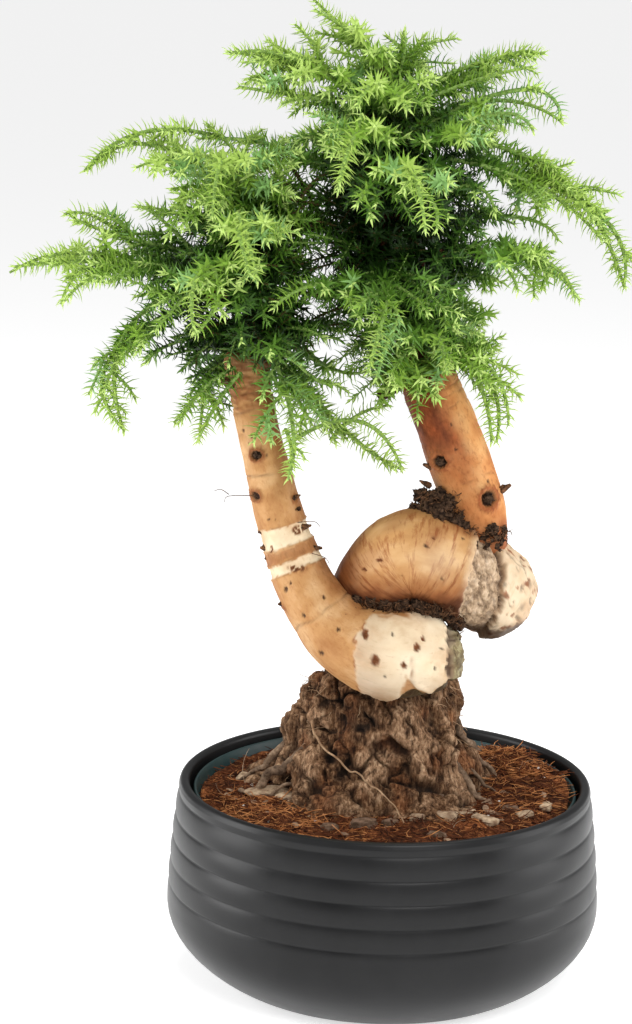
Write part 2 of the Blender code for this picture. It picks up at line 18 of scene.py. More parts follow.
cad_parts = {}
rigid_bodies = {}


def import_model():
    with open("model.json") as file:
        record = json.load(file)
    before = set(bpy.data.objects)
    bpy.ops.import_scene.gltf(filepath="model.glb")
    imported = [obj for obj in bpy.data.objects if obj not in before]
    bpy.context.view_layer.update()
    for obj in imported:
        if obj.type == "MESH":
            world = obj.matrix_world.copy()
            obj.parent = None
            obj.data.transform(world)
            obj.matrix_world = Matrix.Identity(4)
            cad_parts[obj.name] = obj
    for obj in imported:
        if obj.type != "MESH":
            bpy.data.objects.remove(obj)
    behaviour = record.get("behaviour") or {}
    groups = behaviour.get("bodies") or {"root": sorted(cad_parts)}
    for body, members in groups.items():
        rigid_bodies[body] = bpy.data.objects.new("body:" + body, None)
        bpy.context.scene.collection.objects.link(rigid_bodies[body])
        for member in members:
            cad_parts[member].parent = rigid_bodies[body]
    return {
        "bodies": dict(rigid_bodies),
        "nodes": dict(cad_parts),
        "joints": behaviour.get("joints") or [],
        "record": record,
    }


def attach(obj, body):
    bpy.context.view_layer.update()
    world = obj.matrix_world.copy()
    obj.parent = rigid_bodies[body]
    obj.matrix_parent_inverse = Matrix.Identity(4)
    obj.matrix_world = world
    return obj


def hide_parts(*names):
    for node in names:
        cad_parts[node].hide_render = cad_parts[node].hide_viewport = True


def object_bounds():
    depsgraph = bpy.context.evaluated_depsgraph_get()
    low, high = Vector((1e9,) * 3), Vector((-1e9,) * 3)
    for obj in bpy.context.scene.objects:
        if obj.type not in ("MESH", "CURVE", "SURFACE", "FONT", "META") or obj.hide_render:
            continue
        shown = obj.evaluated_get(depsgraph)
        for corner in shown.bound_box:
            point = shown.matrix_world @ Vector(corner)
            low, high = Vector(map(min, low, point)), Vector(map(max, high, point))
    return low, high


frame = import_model()
cad_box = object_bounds()
scene = bpy.context.scene
MM = 0.001                 # metres in a millimetre


# ------------------------------------------------------------------ the studio
# A pale floor and a white room. Broad soft lamps stand to the left, to the right and overhead,
# and the camera looks slightly down on the bowl from the front.

FLOOR_HALF_SIDE = 60.0
FLOOR_GLOW = 0.62          # lifts the far floor to the room's white, as a lit studio sweep does
ROOM_WHITE = (1.0, 1.0, 1.0, 1)
ROOM_GLOW = 0.30           # how strongly the room's own light falls on the plant
LAMPS = (
    # name, place, width, height, watts
    ("key_lamp", (0.45, -1.6, 1.5), 0.9, 0.9, 23.0),
    ("left_panel", (-1.5, -0.1, 0.45), 0.8, 1.5, 22.0),
    ("right_panel", (1.5, -0.1, 0.45), 0.8, 1.5, 15.0),
    ("top_panel", (0.1, 0.4, 1.9), 1.2, 1.2, 13.0),
)
LAMP_AIM = Vector((0, 0, 0.3))
CAMERA_PLACE = (-0.04579, -1.81006, 0.70216)
CAMERA_TILT = math.radians(77.223)
CAMERA_ROLL = math.radians(1.15)
CAMERA_LENS = 107.75


def add_node(tree, kind, feeds=None, **settings):
    """Adds a node to a tree. feeds gives its inputs, by name or number, values or other outputs."""
    made = tree.nodes.new(kind)
    for name, value in settings.items():
        setattr(made, name, value)
    for name, value in (feeds or {}).items():
        socket = made.inputs[name]
        if isinstance(value, bpy.types.NodeSocket):
            tree.links.new(value, socket)
        else:
            socket.default_value = value
    return made


def link_in(made):
    """Puts a new object in the scene."""
    scene.collection.objects.link(made)
    return made


room = bpy.data.worlds.new("room")
scene.world = room
room.use_nodes = True
room_tree = room.node_tree
room_tree.nodes.clear()
seen = add_node(room_tree, "ShaderNodeLightPath").outputs["Is Camera Ray"]
glow = add_node(room_tree, "ShaderNodeMix", {0: seen, 2: ROOM_GLOW, 3: 1.0}, data_type="FLOAT")
backdrop = add_node(room_tree, "ShaderNodeBackground", {"Color": ROOM_WHITE, "Strength": glow.outputs[0]})
add_node(room_tree, "ShaderNodeOutputWorld", {"Surface": backdrop.outputs[0]})

for name, place, width, height, watts in LAMPS:
    lamp = bpy.data.lights.new(name, "AREA")
    lamp.shape = "RECTANGLE"
    lamp.size = width
    lamp.size_y = height
    lamp.energy = watts
    stand = link_in(bpy.data.objects.new(name, lamp))
    stand.location = place
    stand.rotation_euler = (LAMP_AIM - Vector(place)).to_track_quat("-Z", "Y").to_euler()

camera_data = bpy.data.cameras.new("camera")
camera_data.lens = CAMERA_LENS
camera_data.sensor_width = 36.0
camera_data.clip_start = 0.05
camera = link_in(bpy.data.objects.new("camera", camera_data))
camera.matrix_world = (
    Matrix.Translation(CAMERA_PLACE)
    @ Matrix.Rotation(CAMERA_TILT, 4, "X")
    @ Matrix.Rotation(CAMERA_ROLL, 4, "Z")
)
scene.camera = camera
scene.view_settings.view_transform = "Standard"


def plain_material(name, colour, roughness, specular=0.15):
    """A new material of one colour. Returns it with its shader."""
    made = bpy.data.materials.new(name)
    made.use_nodes = True
    shader = made.node_tree.nodes["Principled BSDF"]
    shader.inputs["Base Color"].default_value = (*colour, 1)
    shader.inputs["Roughness"].default_value = roughness
    shader.inputs["Specular IOR Level"].default_value = specular
    return made, shader


floor_mesh = bpy.data.meshes.new("floor")
floor_mesh.from_pydata(
    [(x * FLOOR_HALF_SIDE, y * FLOOR_HALF_SIDE, 0) for x, y in ((-1, -1), (1, -1), (1, 1), (-1, 1))],
    [], [(0, 1, 2, 3)],
)
floor = link_in(bpy.data.objects.new("floor", floor_mesh))
floor_finish, floor_shader = plain_material("floor_paint", (0.86, 0.86, 0.86), 0.75)
floor_shader.inputs["Emission Color"].default_value = ROOM_WHITE
floor_shader.inputs["Emission Strength"].default_value = FLOOR_GLOW
floor_mesh.materials.append(floor_finish)


# ------------------------------------------------------------------ the bowl
# A charcoal bowl of moulded clay with a satin glaze. Its wall is turned in one piece, with a
# rounded lip, five soft ribs pressed in under it and a smooth belly down to a flat foot.

POT_HEIGHT = 124.5
POT_LIP_RADIUS = 126.5
POT_BELLY_RADIUS = 133.6
POT_BASE_RADIUS = 93.0
POT_BELLY_HEIGHT = 47.0
POT_WALL = 5.5
POT_FLOOR = 7.0
RIB_PITCH = 14.3
RIB_TOP = 116.4            # height of the highest groove
RIB_COUNT = 5
RIB_DEPTH = 1.5
RIBBED_FROM = 121.0        # radius: the inner side of the wall stands inside this and stays plain
RIB_STEP = 0.7             # spacing of the wall's rings where it is ribbed
BOWL_SIDES = 200
LIP_ROUNDING = 3.1
CHARCOAL = (0.008, 0.008, 0.0085)
CHARCOAL_WORN = (0.014, 0.014, 0.0145)


def outward_mesh(name, corners, faces):
    """A mesh whose faces all point outwards."""
    mesh = bpy.data.meshes.new(name)
    mesh.from_pydata(corners, [], faces)
    work = bmesh.new()
    work.from_mesh(mesh)
    bmesh.ops.recalc_face_normals(work, faces=work.faces)
    work.to_mesh(mesh)
    work.free()
    return mesh


def skin_over(name, rings):
    """A closed, smooth mesh over rings of places in millimetres. Its two ends close in poles.

    rings is an array (ring, side, xyz).
    """
    count, sides = rings.shape[:2]
    corners = np.vstack([rings.reshape(-1, 3), rings[0].mean(axis=0), rings[-1].mean(axis=0)]) * MM
    base = np.arange(count * sides).reshape(count, sides)
    turned = np.roll(base, -1, axis=1)
    foot = count * sides
    faces = np.stack([base[:-1], turned[:-1], turned[1:], base[1:]], axis=-1).reshape(-1, 4).tolist()
    faces += [(foot, int(b), int(a)) for a, b in zip(base[0], turned[0])]
    faces += [(foot + 1, int(a), int(b)) for a, b in zip(base[-1], turned[-1])]
    mesh = outward_mesh(name, corners.tolist(), faces)
    mesh.shade_smooth()
    return mesh


def turn_angles(sides):
    return np.arange(sides) / sides * 2 * math.pi


def lathe_rings(outline, sides):
    """Rings of a turned piece from its outline of (radius, height)."""
    outline = np.asarray(outline, float)
    angles = turn_angles(sides)
    radius = outline[:, :1]
    heights = np.repeat(outline[:, 1:], sides, axis=1)
    return np.stack([radius * np.cos(angles), radius * np.sin(angles), heights], axis=-1)


def pot_outside(z):
    """Radius of the bowl's outer wall at a height, without its ribs."""
    if z < POT_BELLY_HEIGHT:
        share = (POT_BELLY_HEIGHT - z) / POT_BELLY_HEIGHT
        return POT_BASE_RADIUS + (POT_BELLY_RADIUS - POT_BASE_RADIUS) * (1 - share ** 2) ** 0.88
    share = (z - POT_BELLY_HEIGHT) / (POT_HEIGHT - POT_BELLY_HEIGHT)
    return POT_BELLY_RADIUS - (POT_BELLY_RADIUS - POT_LIP_RADIUS) * share ** 1.6


def bowl_outline():
    outline = [(20, 0), (70, 0), (88, 0), (POT_BASE_RADIUS - 1.2, 0.0), (POT_BASE_RADIUS, 0.5)]
    outline += [(pot_outside(z), z) for z in (1.5, 3, 5, 8, 11, 15, 20, 25, 30, 35, 40, 45)]
    ribbed = np.arange(48, POT_HEIGHT - 3.4, RIB_STEP)
    outline += [(pot_outside(z), z) for z in ribbed]
    lip_middle = POT_LIP_RADIUS - 3.0
    for turn in range(0, 181, 20):
        across = math.cos(math.radians(turn)) * LIP_ROUNDING
        lift = math.sin(math.radians(turn)) * LIP_ROUNDING
        outline.append((lip_middle + across, POT_HEIGHT - LIP_ROUNDING + lift))
    inside = (118, 112, 100, 85, 70, 55, 44, 34, 25, 16, 10)
    outline += [(min(pot_outside(z) - POT_WALL - RIB_DEPTH, POT_LIP_RADIUS - 6.2), z) for z in inside]
    return outline + [(POT_BASE_RADIUS - 3, POT_FLOOR), (60, POT_FLOOR), (15, POT_FLOOR)]


def node_after(kind, feeds, output=0, **settings):
    """Adds a node to the tree that its feeds come from, and returns one of its outputs."""
    tree = next(value.id_data for value in feeds.values() if isinstance(value, bpy.types.NodeSocket))
    return add_node(tree, kind, feeds, **settings).outputs[output]


def growing_tree(name, sizes):
    """A Geometry Nodes tree with a geometry input and named inputs {name: (kind, value)}.

    Returns the tree, its input node's outputs and a function that closes it with a material.
    """
    tree = bpy.data.node_groups.new(name, "GeometryNodeTree")
    face = tree.interface
    face.new_socket("Geometry", in_out="INPUT", socket_type="NodeSocketGeometry")
    for label, (kind, value) in sizes.items():
        socket = face.new_socket(label, in_out="INPUT", socket_type="NodeSocket" + kind)
        if value is not None:
            socket.default_value = value
    face.new_socket("Material", in_out="INPUT", socket_type="NodeSocketMaterial")
    face.new_socket("Geometry", in_out="OUTPUT", socket_type="NodeSocketGeometry")
    given = add_node(tree, "NodeGroupInput").outputs

    def close(geometry):
        real = node_after("GeometryNodeRealizeInstances", {"Geometry": geometry})
        dressed = node_after("GeometryNodeSetMaterial", {"Geometry": real, "Material": given["Material"]})
        add_node(tree, "NodeGroupOutput", {"Geometry": dressed})

    return tree, given, close


def grown(name, mesh, tree, finish, **sizes):
    """Runs a tree on a mesh, with its inputs set by their sockets' identifiers, and returns
    the plain mesh that it makes."""
    holder = link_in(bpy.data.objects.new(name, mesh))
    growth = holder.modifiers.new("growth", "NODES")
    growth.node_group = tree
    sizes["Material"] = finish
    for item in tree.interface.items_tree:
        if item.in_out == "INPUT" and item.name in sizes:
            growth[item.identifier] = sizes[item.name]
    graph = bpy.context.evaluated_depsgraph_get()
    plain = bpy.data.meshes.new_from_object(holder.evaluated_get(graph))
    holder.modifiers.remove(growth)
    bpy.data.objects.remove(holder)
    plain.name = name
    return plain


def arithmetic(operation, *values):
    return node_after("ShaderNodeMath", dict(enumerate(values)), operation=operation)


def times(*values):
    return arithmetic("MULTIPLY", *values)


def plus(*values):
    return arithmetic("ADD", *values)


def minus(*values):
    return arithmetic("SUBTRACT", *values)


def vector_step(operation, *values, **more):
    output = "Value" if operation in ("DOT_PRODUCT", "LENGTH") else "Vector"
    feeds = {**dict(enumerate(values)), **more}
    return node_after("ShaderNodeVectorMath", feeds, output, operation=operation)


def combined(x, y, z):
    return node_after("ShaderNodeCombineXYZ", {0: x, 1: y, 2: z})


def spread(value, start, end, first, last):
    """Goes from first to last while the value goes from start to end."""
    return node_after("ShaderNodeMapRange", {0: value, 1: start, 2: end, 3: first, 4: last})


def rib_tree():
    """Presses soft ribs into a turned wall: grooves at an even pitch, with rounded ribs between.
    The grooves grow shallower down the wall, and the last one fades out."""
    tree, given, close = growing_tree("pressed_ribs", {
        "Pitch": ("Float", RIB_PITCH * MM), "Top": ("Float", RIB_TOP * MM),
        "Count": ("Float", float(RIB_COUNT)), "Depth": ("Float", RIB_DEPTH * MM),
        "Least Radius": ("Float", RIBBED_FROM * MM),
    })
    place = add_node(tree, "GeometryNodeInputPosition").outputs[0]
    x, y, z = add_node(tree, "ShaderNodeSeparateXYZ", {0: place}).outputs
    flat = combined(x, y, 0.0)
    below = arithmetic("DIVIDE", minus(given["Top"], z), given["Pitch"])
    wave = arithmetic("ABSOLUTE", arithmetic("SINE", times(below, math.pi)))
    sunk = minus(1.0, arithmetic("POWER", wave, 0.42))
    fade_top = arithmetic("GREATER_THAN", below, -0.45)
    fade_low = spread(minus(below, minus(given["Count"], 1.0)), 0.12, 0.42, 1.0, 0.0)
    weaker = spread(below, 2.4, 4.2, 1.0, 0.55)
    outer = arithmetic("GREATER_THAN", vector_step("LENGTH", flat), given["Least Radius"])
    amount = times(times(sunk, times(fade_top, fade_low)), times(outer, weaker))
    push = times(amount, times(given["Depth"], -1.0))
    offset = vector_step("SCALE", vector_step("NORMALIZE", flat), Scale=push)
    close(node_after("GeometryNodeSetPosition", {"Geometry": given["Geometry"], "Offset": offset}))
    return tree


def object_place(shader):
    return add_node(shader.id_data, "ShaderNodeTexCoord").outputs["Object"]


def speckle(place, size_mm, detail=4.0, roughness=0.55, stretch=(1, 1, 1)):
    """Noise whose grain is about size_mm across, stretched along the axes by stretch."""
    scaled = node_after("ShaderNodeMapping", {"Vector": place, "Scale": [1 / s for s in stretch]})
    feeds = {"Vector": scaled, "Scale": 1000 / size_mm, "Detail": detail, "Roughness": roughness}
    return node_after("ShaderNodeTexNoise", feeds, "Fac")


def ramp(value, *stops):
    """A ramp from (position, colour or grey) stops."""
    made = add_node(value.id_data, "ShaderNodeValToRGB", {0: value})
    points = made.color_ramp.elements
    while len(points) < len(stops):
        points.new(0.5)
    for point, (position, colour) in zip(points, stops):
        point.position = position
        point.color = (*colour, 1) if hasattr(colour, "__len__") else (colour, colour, colour, 1)
    return made.outputs["Color"]


def mixed(share, first, second):
    """The first colour where share is 0 and the second where it is 1."""
    colours = [(*c, 1) if isinstance(c, tuple) else c for c in (first, second)]
    return node_after("ShaderNodeMix", {0: share, 6: colours[0], 7: colours[1]}, 2, data_type="RGBA")


def feed(shader, name, value):
    shader.id_data.links.new(value, shader.inputs[name])


def relief_on(shader, height, depth_mm, strength=1.0):
    """Fine relief under the light, too small for the mesh."""
    feeds = {"Height": height, "Strength": strength, "Distance": depth_mm * MM}
    feed(shader, "Normal", node_after("ShaderNodeBump", feeds))


def piece_from(name, mesh, finish, replaced):
    """Makes a finished mesh a piece of the plant: it rides on the one body."""
    made = link_in(bpy.data.objects.new(name, mesh))
    made.data.materials.clear()
    made.data.materials.append(finish)
    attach(made, "root")
    if replaced:
        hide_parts(*replaced)


glaze, shader = plain_material("bowl_glaze", CHARCOAL, 0.38, specular=0.26)
place = object_place(shader)
cloud = speckle(place, 38, detail=5)
feed(shader, "Base Color", ramp(cloud, (0.35, CHARCOAL), (0.75, CHARCOAL_WORN)))
feed(shader, "Roughness", ramp(cloud, (0.3, 0.32), (0.7, 0.42)))
relief_on(shader, speckle(place, 1.1, detail=2), 0.05, 0.5)
bowl_blank = skin_over("bowl_blank", lathe_rings(bowl_outline(), BOWL_SIDES))
bowl_mesh = grown("bowl", bowl_blank, rib_tree(), glaze)
bowl_mesh.shade_smooth()
piece_from("bowl", bowl_mesh, glaze, ("pot",))


# ------------------------------------------------------------------ the nursery pot
# The thin dark-teal plastic pot that the tree was raised in. It stands inside the bowl, and
# only its rolled rim and the top of its wall show round the soil.

LINER_RIM_RADIUS = 118.0
LINER_BASE_RADIUS = 88.0
LINER_TOP = 119.0
LINER_FOOT = 7.3
LINER_WALL = 1.6
LINER_SIDES = 144
LINER_TEAL = (0.012, 0.040, 0.042)


def liner_outline():
    rim = LINER_RIM_RADIUS - LINER_WALL / 2
    inner = LINER_BASE_RADIUS - LINER_WALL

    def wall(radius, spread_out, foot, rise, steps):
        return [(radius + spread_out * k / 8, foot + rise * k / 8) for k in steps]

    outline = [(20, LINER_FOOT), (LINER_BASE_RADIUS - 4, LINER_FOOT), (LINER_BASE_RADIUS, LINER_FOOT + 2)]
    outline += wall(LINER_BASE_RADIUS, rim - 3.0 - LINER_BASE_RADIUS,
                    LINER_FOOT + 2, LINER_TOP - 9 - LINER_FOOT, range(1, 9))
    outline += [(rim + out, LINER_TOP - drop) for out, drop in (
        (-1.6, 6), (0.4, 5.4), (0.8, 4.4), (0.8, 1), (0.4, 0.2), (-0.3, 0), (-1.0, 0.5), (-1.6, 4))]
    outline += wall(inner, rim - 2.6 - LINER_BASE_RADIUS,
                    LINER_FOOT + 3, LINER_TOP - 12 - LINER_FOOT, range(8, -1, -1))
    return outline + [(60, LINER_FOOT + 2), (15, LINER_FOOT + 2)]


teal, shader = plain_material("liner_plastic", LINER_TEAL, 0.45, specular=0.4)
place = object_place(shader)
dust = speckle(place, 9, detail=5)
feed(shader, "Base Color", ramp(dust, (0.4, LINER_TEAL), (0.8, (0.03, 0.055, 0.052))))
relief_on(shader, speckle(place, 2.5), 0.08, 0.4)
piece_from("nursery_pot_skin", skin_over("nursery_pot_skin", lathe_rings(liner_outline(), LINER_SIDES)),
           teal, ("nursery_pot",))


# ------------------------------------------------------------------ the soil
# Reddish-brown coir compost, level with the bowl's lip and heaped a little towards the back
# on the right. Its top is crumbly, and the loose stuff on it is laid on piece by piece below.

SOIL_LEVEL = 114.7
SOIL_FALL = 2.2            # how far the soil drops towards the pot's wall
SOIL_RADIUS = 113.6
SOIL_RINGS = 100
SOIL_SIDES = 216
SOIL_HEAP = (
    # x, y, reach, rise
    (84, 56, 36, 8.0), (100, 10, 30, 5.0), (-62, -60, 28, 2.4), (66, -50, 24, 2.2), (90, 66, 26, 5.0),
    (112, 8, 34, 5.0),
)


def soil_height(x, y):
    """Height of the crumbly soil surface at a place."""
    radius = math.hypot(x, y)
    fall = min(max((radius - 84) / (SOIL_RADIUS - 84), 0), 1)
    height = SOIL_LEVEL - SOIL_FALL * fall
    for cx, cy, reach, rise in SOIL_HEAP:
        height += rise * math.exp(-((x - cx) ** 2 + (y - cy) ** 2) / reach ** 2) * (1 - 0.3 * fall ** 3)
    height += 2.0 * noise.noise(Vector((x, y, 3)) / 13)
    height += 1.3 * noise.noise(Vector((x, y, 9)) / 4.2)
    return height + 0.7 * noise.noise(Vector((x, y, 5)) / 1.7)


def soil_rings():
    """Rings from the middle of the soil's top out to the pot's wall, and back under it."""
    angles = turn_angles(SOIL_SIDES)
    rings = []
    for radius in np.linspace(0.8, SOIL_RADIUS, SOIL_RINGS):
        places = [(radius * math.cos(a), radius * math.sin(a)) for a in angles]
        rings.append([(x, y, soil_height(x, y)) for x, y in places])
    for radius, z in ((107, 92), (98, 50), (88, 12), (60, 9.6), (10, 9.6)):
        rings.append([(radius * math.cos(a), radius * math.sin(a), z) for a in angles])
    return np.array(rings)


coir, shader = plain_material("coir_compost", (0.10, 0.04, 0.02), 0.95)
place = object_place(shader)
crumbs = speckle(place, 3.2, detail=6, roughness=0.7)
base = ramp(crumbs, (0.32, (0.008, 0.003, 0.002)), (0.50, (0.055, 0.018, 0.008)),
            (0.68, (0.21, 0.070, 0.025)))
warm = ramp(crumbs, (0.30, (0.030, 0.009, 0.004)), (0.50, (0.28, 0.090, 0.030)),
            (0.68, (0.60, 0.245, 0.085)))
share = ramp(speckle(place, 26, detail=6), (0.40, 0.0), (0.62, 1.0))
feed(shader, "Base Color", mixed(share, base, warm))
relief_on(shader, crumbs, 1.2)
piece_from("soil_bed", skin_over("soil_bed", soil_rings()), coir, ("soil",))


# Loose stuff on the soil: coir fibres, crumbs of compost, chips of bark and beads of perlite.
# Each kind is strewn by one Geometry Nodes tree over a low skin that follows the soil.

STREW_INNER = 0.92         # nothing is strewn inside this share of the root stock's foot
FOOT_HALF_WIDTHS = (66, 50)
FOOT_MIDDLE = (-4, 8)


def mesh_from(work, name, smooth=False):
    """Turns a finished bmesh into a mesh."""
    mesh = bpy.data.meshes.new(name)
    work.to_mesh(mesh)
    work.free()
    if smooth:
        mesh.shade_smooth()
    return mesh


def strewing_ground(inside, wanted=None):
    """A skin that follows the soil and carries "thick", how thickly things lie on it."""
    step = 3.0
    work = bmesh.new()
    grid = {}
    count = int(inside / step)
    for i in range(-count, count + 1):
        for j in range(-count, count + 1):
            x, y = i * step, j * step
            if math.hypot(x, y) < inside:
                grid[i, j] = work.verts.new((x * MM, y * MM, soil_height(x, y) * MM))
    for i, j in grid:
        corners = [grid.get(k) for k in ((i, j), (i + 1, j), (i + 1, j + 1), (i, j + 1))]
        if all(corners):
            work.faces.new(corners)
    mesh = mesh_from(work, "strewing_ground")
    thick = mesh.attributes.new("thick", "FLOAT", "POINT")
    for vertex, value in zip(mesh.vertices, thick.data):
        x, y, z = (c / MM for c in vertex.co)
        across, deep = [(c - m) / h for c, m, h in zip((x, y), FOOT_MIDDLE, FOOT_HALF_WIDTHS)]
        if math.hypot(across, deep) > STREW_INNER:
            value.value = wanted(x, y) if wanted else 1.0
    return mesh


def named_value(tree, name):
    """A value that every point of the mesh carries under a name."""
    made = add_node(tree, "GeometryNodeInputNamedAttribute", {"Name": name}, data_type="FLOAT")
    return made.outputs[0]


def by_chance(low, high, seed):
    """A random number for each point."""
    return node_after("FunctionNodeRandomValue", {2: low, 3: high, "Seed": seed}, 1, data_type="FLOAT")


def strewing_tree():
    """Scatters the shapes of a collection over a ground, each turned, tilted and sized by chance."""
    tree, given, close = growing_tree("strewing", {
        "Shapes": ("Collection", None), "Per Square Metre": ("Float", 1000.0),
        "Smallest": ("Float", 0.6), "Largest": ("Float", 1.4), "Tilt": ("Float", 0.3), "Seed": ("Int", 1),
    })
    tilt, seed = given["Tilt"], given["Seed"]
    density = times(named_value(tree, "thick"), given["Per Square Metre"])
    places = node_after("GeometryNodeDistributePointsOnFaces", {
        "Mesh": given["Geometry"], "Density": density, "Seed": seed,
    })
    shapes = node_after("GeometryNodeCollectionInfo", {
        "Collection": given["Shapes"], "Separate Children": True, "Reset Children": True,
    })
    low = combined(times(tilt, -1.0), times(tilt, -1.0), 0.0)
    high = combined(tilt, tilt, 2 * math.pi)
    turn = node_after("FunctionNodeRandomValue", {0: low, 1: high, "Seed": seed}, data_type="FLOAT_VECTOR")
    size = by_chance(given["Smallest"], given["Largest"], plus(seed, 7.0))
    close(node_after("GeometryNodeInstanceOnPoints", {
        "Points": places, "Instance": shapes, "Pick Instance": True, "Rotation": turn, "Scale": size,
    }))
    return tree


def thin_tube(path, radii, sides=3):
    """A closed tube along a path, in millimetres, as rings of places."""
    path = [Vector(p) for p in path]
    rings = []
    across = None
    for k, centre in enumerate(path):
        along = (path[min(k + 1, len(path) - 1)] - path[max(k - 1, 0)]).normalized()
        if across is None:
            guide = Vector((0, 1, 0)) if abs(along.y) < 0.8 else Vector((1, 0, 0))
            across = along.cross(guide)
        across = (across - along * across.dot(along)).normalized()
        other = along.cross(across)
        rings.append([
            centre + (across * math.cos(a) + other * math.sin(a)) * float(radii[k])
            for a in (2 * math.pi * n / sides for n in range(sides))
        ])
    return np.array(rings)


def fibre_shape(number, chance, length, thickness):
    """A curled fibre lying on the ground."""
    heading = chance.uniform(0, 2 * math.pi)
    place = Vector((0, 0, 0.4))
    path = []
    curl = chance.uniform(-0.5, 0.5)
    for step in range(7):
        path.append(place.copy())
        heading += curl + chance.uniform(-0.25, 0.25)
        lift = chance.uniform(-0.14, 0.22)
        place += Vector((math.cos(heading), math.sin(heading), lift)) * length / 6
    middle = path[3].copy()
    path = [p - Vector((middle.x, middle.y, 0)) for p in path]
    radii = [thickness * r for r in (0.35, 0.5, 0.5, 0.5, 0.5, 0.45, 0.25)]
    return skin_over(f"fibre_{number}", thin_tube(path, radii))


def lump_shape(number, chance, flatness, roughness, divisions=1):
    """A small broken lump, two units across before it is sized."""
    work = bmesh.new()
    bmesh.ops.create_icosphere(work, subdivisions=divisions, radius=1.0)
    for vertex in work.verts:
        vertex.co *= 1 + roughness * chance.uniform(-1, 1)
        x, y, z = vertex.co
        vertex.co = Vector((x * chance.uniform(0.9, 1.1), y * 0.75, z * flatness)) * MM
    return mesh_from(work, f"lump_{number}")


def strewn(name, ground, meshes, finish, **sizes):
    """Makes a piece of shapes that are strewn over a ground."""
    kept = bpy.data.collections.new(name + "_shapes")
    scene.collection.children.link(kept)
    for number, mesh in enumerate(meshes):
        kept.objects.link(bpy.data.objects.new(f"{name}_shape_{number}", mesh))
    mesh = grown(name, ground, strewing, finish, Shapes=kept, **sizes)
    for shape in list(kept.objects):
        bpy.data.objects.remove(shape)
    bpy.data.collections.remove(kept)
    piece_from(name, mesh, finish, ())


def fleck_material(name, dark, light, grain_mm, roughness=0.9):
    """A dull finish that is flecked from dark to light."""
    made, shader = plain_material(name, light, roughness)
    fleck = speckle(object_place(shader), grain_mm, detail=3)
    feed(shader, "Base Color", ramp(fleck, (0.35, dark), (0.68, light)))
    relief_on(shader, fleck, 0.2, 0.6)
    return made


def heap_of_fibre(x, y):
    """Fibre lies thickest on the heap at the back on the right and at the front on the left."""
    back = math.exp(-((x - 76) ** 2 + (y - 46) ** 2) / 44 ** 2)
    front = math.exp(-((x + 66) ** 2 + (y + 52) ** 2) / 44 ** 2)
    right = math.exp(-((x - 92) ** 2 + (y + 30) ** 2) / 26 ** 2)
    return 0.22 + 1.2 * back + 1.1 * front + 0.5 * right


strewing = strewing_tree()
chance = random.Random(41)
short_fibres, bright_fibres = [
    [fibre_shape(k, chance, chance.uniform(*lengths), chance.uniform(*girths)) for k in range(9)]
    for lengths, girths in (((9, 20), (0.34, 0.6)), ((8, 22), (0.30, 0.5)))
]
crumb_shapes = [lump_shape(k, chance, 0.7, 0.28) for k in range(6)]
chip_shapes = [lump_shape(10 + k, chance, 0.32, 0.22, 2) for k in range(5)]

STREWN = (
    # piece, reach of its ground, where it lies thickest, shapes, count on a square metre, seed,
    # smallest and largest size, tilt, then its finish: name, dark, light, grain
    ("coir_fibres_dark", 112.5, None, short_fibres, 62000.0, 3, (0.6, 1.4), 0.30,
     "coir_dark", (0.030, 0.009, 0.004), (0.20, 0.060, 0.022), 6),
    ("coir_fibres_bright", 112, heap_of_fibre, bright_fibres, 66000.0, 11, (0.6, 1.4), 0.35,
     "coir_bright", (0.26, 0.080, 0.024), (0.74, 0.33, 0.12), 7),
    ("compost_crumbs", 108, None, crumb_shapes, 52000.0, 5, (0.5, 1.9), 0.30,
     "compost_crumb", (0.016, 0.005, 0.003), (0.14, 0.045, 0.018), 3),
    ("bark_chips", 104, None, chip_shapes, 2600.0, 8, (1.6, 4.2), 0.6,
     "bark_chip", (0.16, 0.09, 0.055), (0.46, 0.31, 0.20), 5),
    ("perlite_beads", 104, None, crumb_shapes, 900.0, 15, (0.8, 1.5), 0.30,
     "perlite", (0.62, 0.60, 0.56), (0.85, 0.84, 0.80), 2),
)
for name, inside, wanted, shapes, number, seed, (smallest, largest), tilt, *finish in STREWN:
    strewn(name, strewing_ground(inside, wanted), shapes, fleck_material(*finish), Tilt=tilt, Seed=seed,
           Smallest=smallest, Largest=largest, **{"Per Square Metre": number})

# Larger pieces of old bark lie where they fell from the stock, and a few pale hairs stand up.
FALLEN_CHIPS = (
    # x, y, half length, half width, half height, turn in degrees, kind
    (-72, -8, 13, 6.5, 3.2, 12, "pale"), (-58, -18, 9, 5, 2.6, -20, "pale"),
    (20, -52, 6, 3.5, 2.6, 25, "pale"), (36, -50, 7, 4, 2.2, -12, "pale"), (2, -62, 5, 3.2, 2.4, 40, "dark"),
    (48, -40, 8, 3, 2.2, 18, "pale"), (60, -58, 9, 3.4, 2.4, -38, "pale"), (-14, -66, 8, 4.6, 3.0, 8, "dark"),
    (84, -44, 6, 3.6, 2.0, 30, "pale"), (98, -28, 6, 3.2, 2.0, 70, "pale"), (76, -36, 5, 2.6, 1.8, 0, "dark"),
    (-34, -74, 5, 3.2, 2.0, 15, "dark"), (30, -80, 6, 2.8, 1.8, -25, "dark"), (58, 66, 7, 4, 2.4, 50, "dark"),
    (-60, 68, 8, 4.4, 2.6, -40, "dark"), (-88, 26, 6, 3.4, 2.2, 75, "pale"), (10, 84, 7, 3.6, 2.2, 5, "pale"),
)
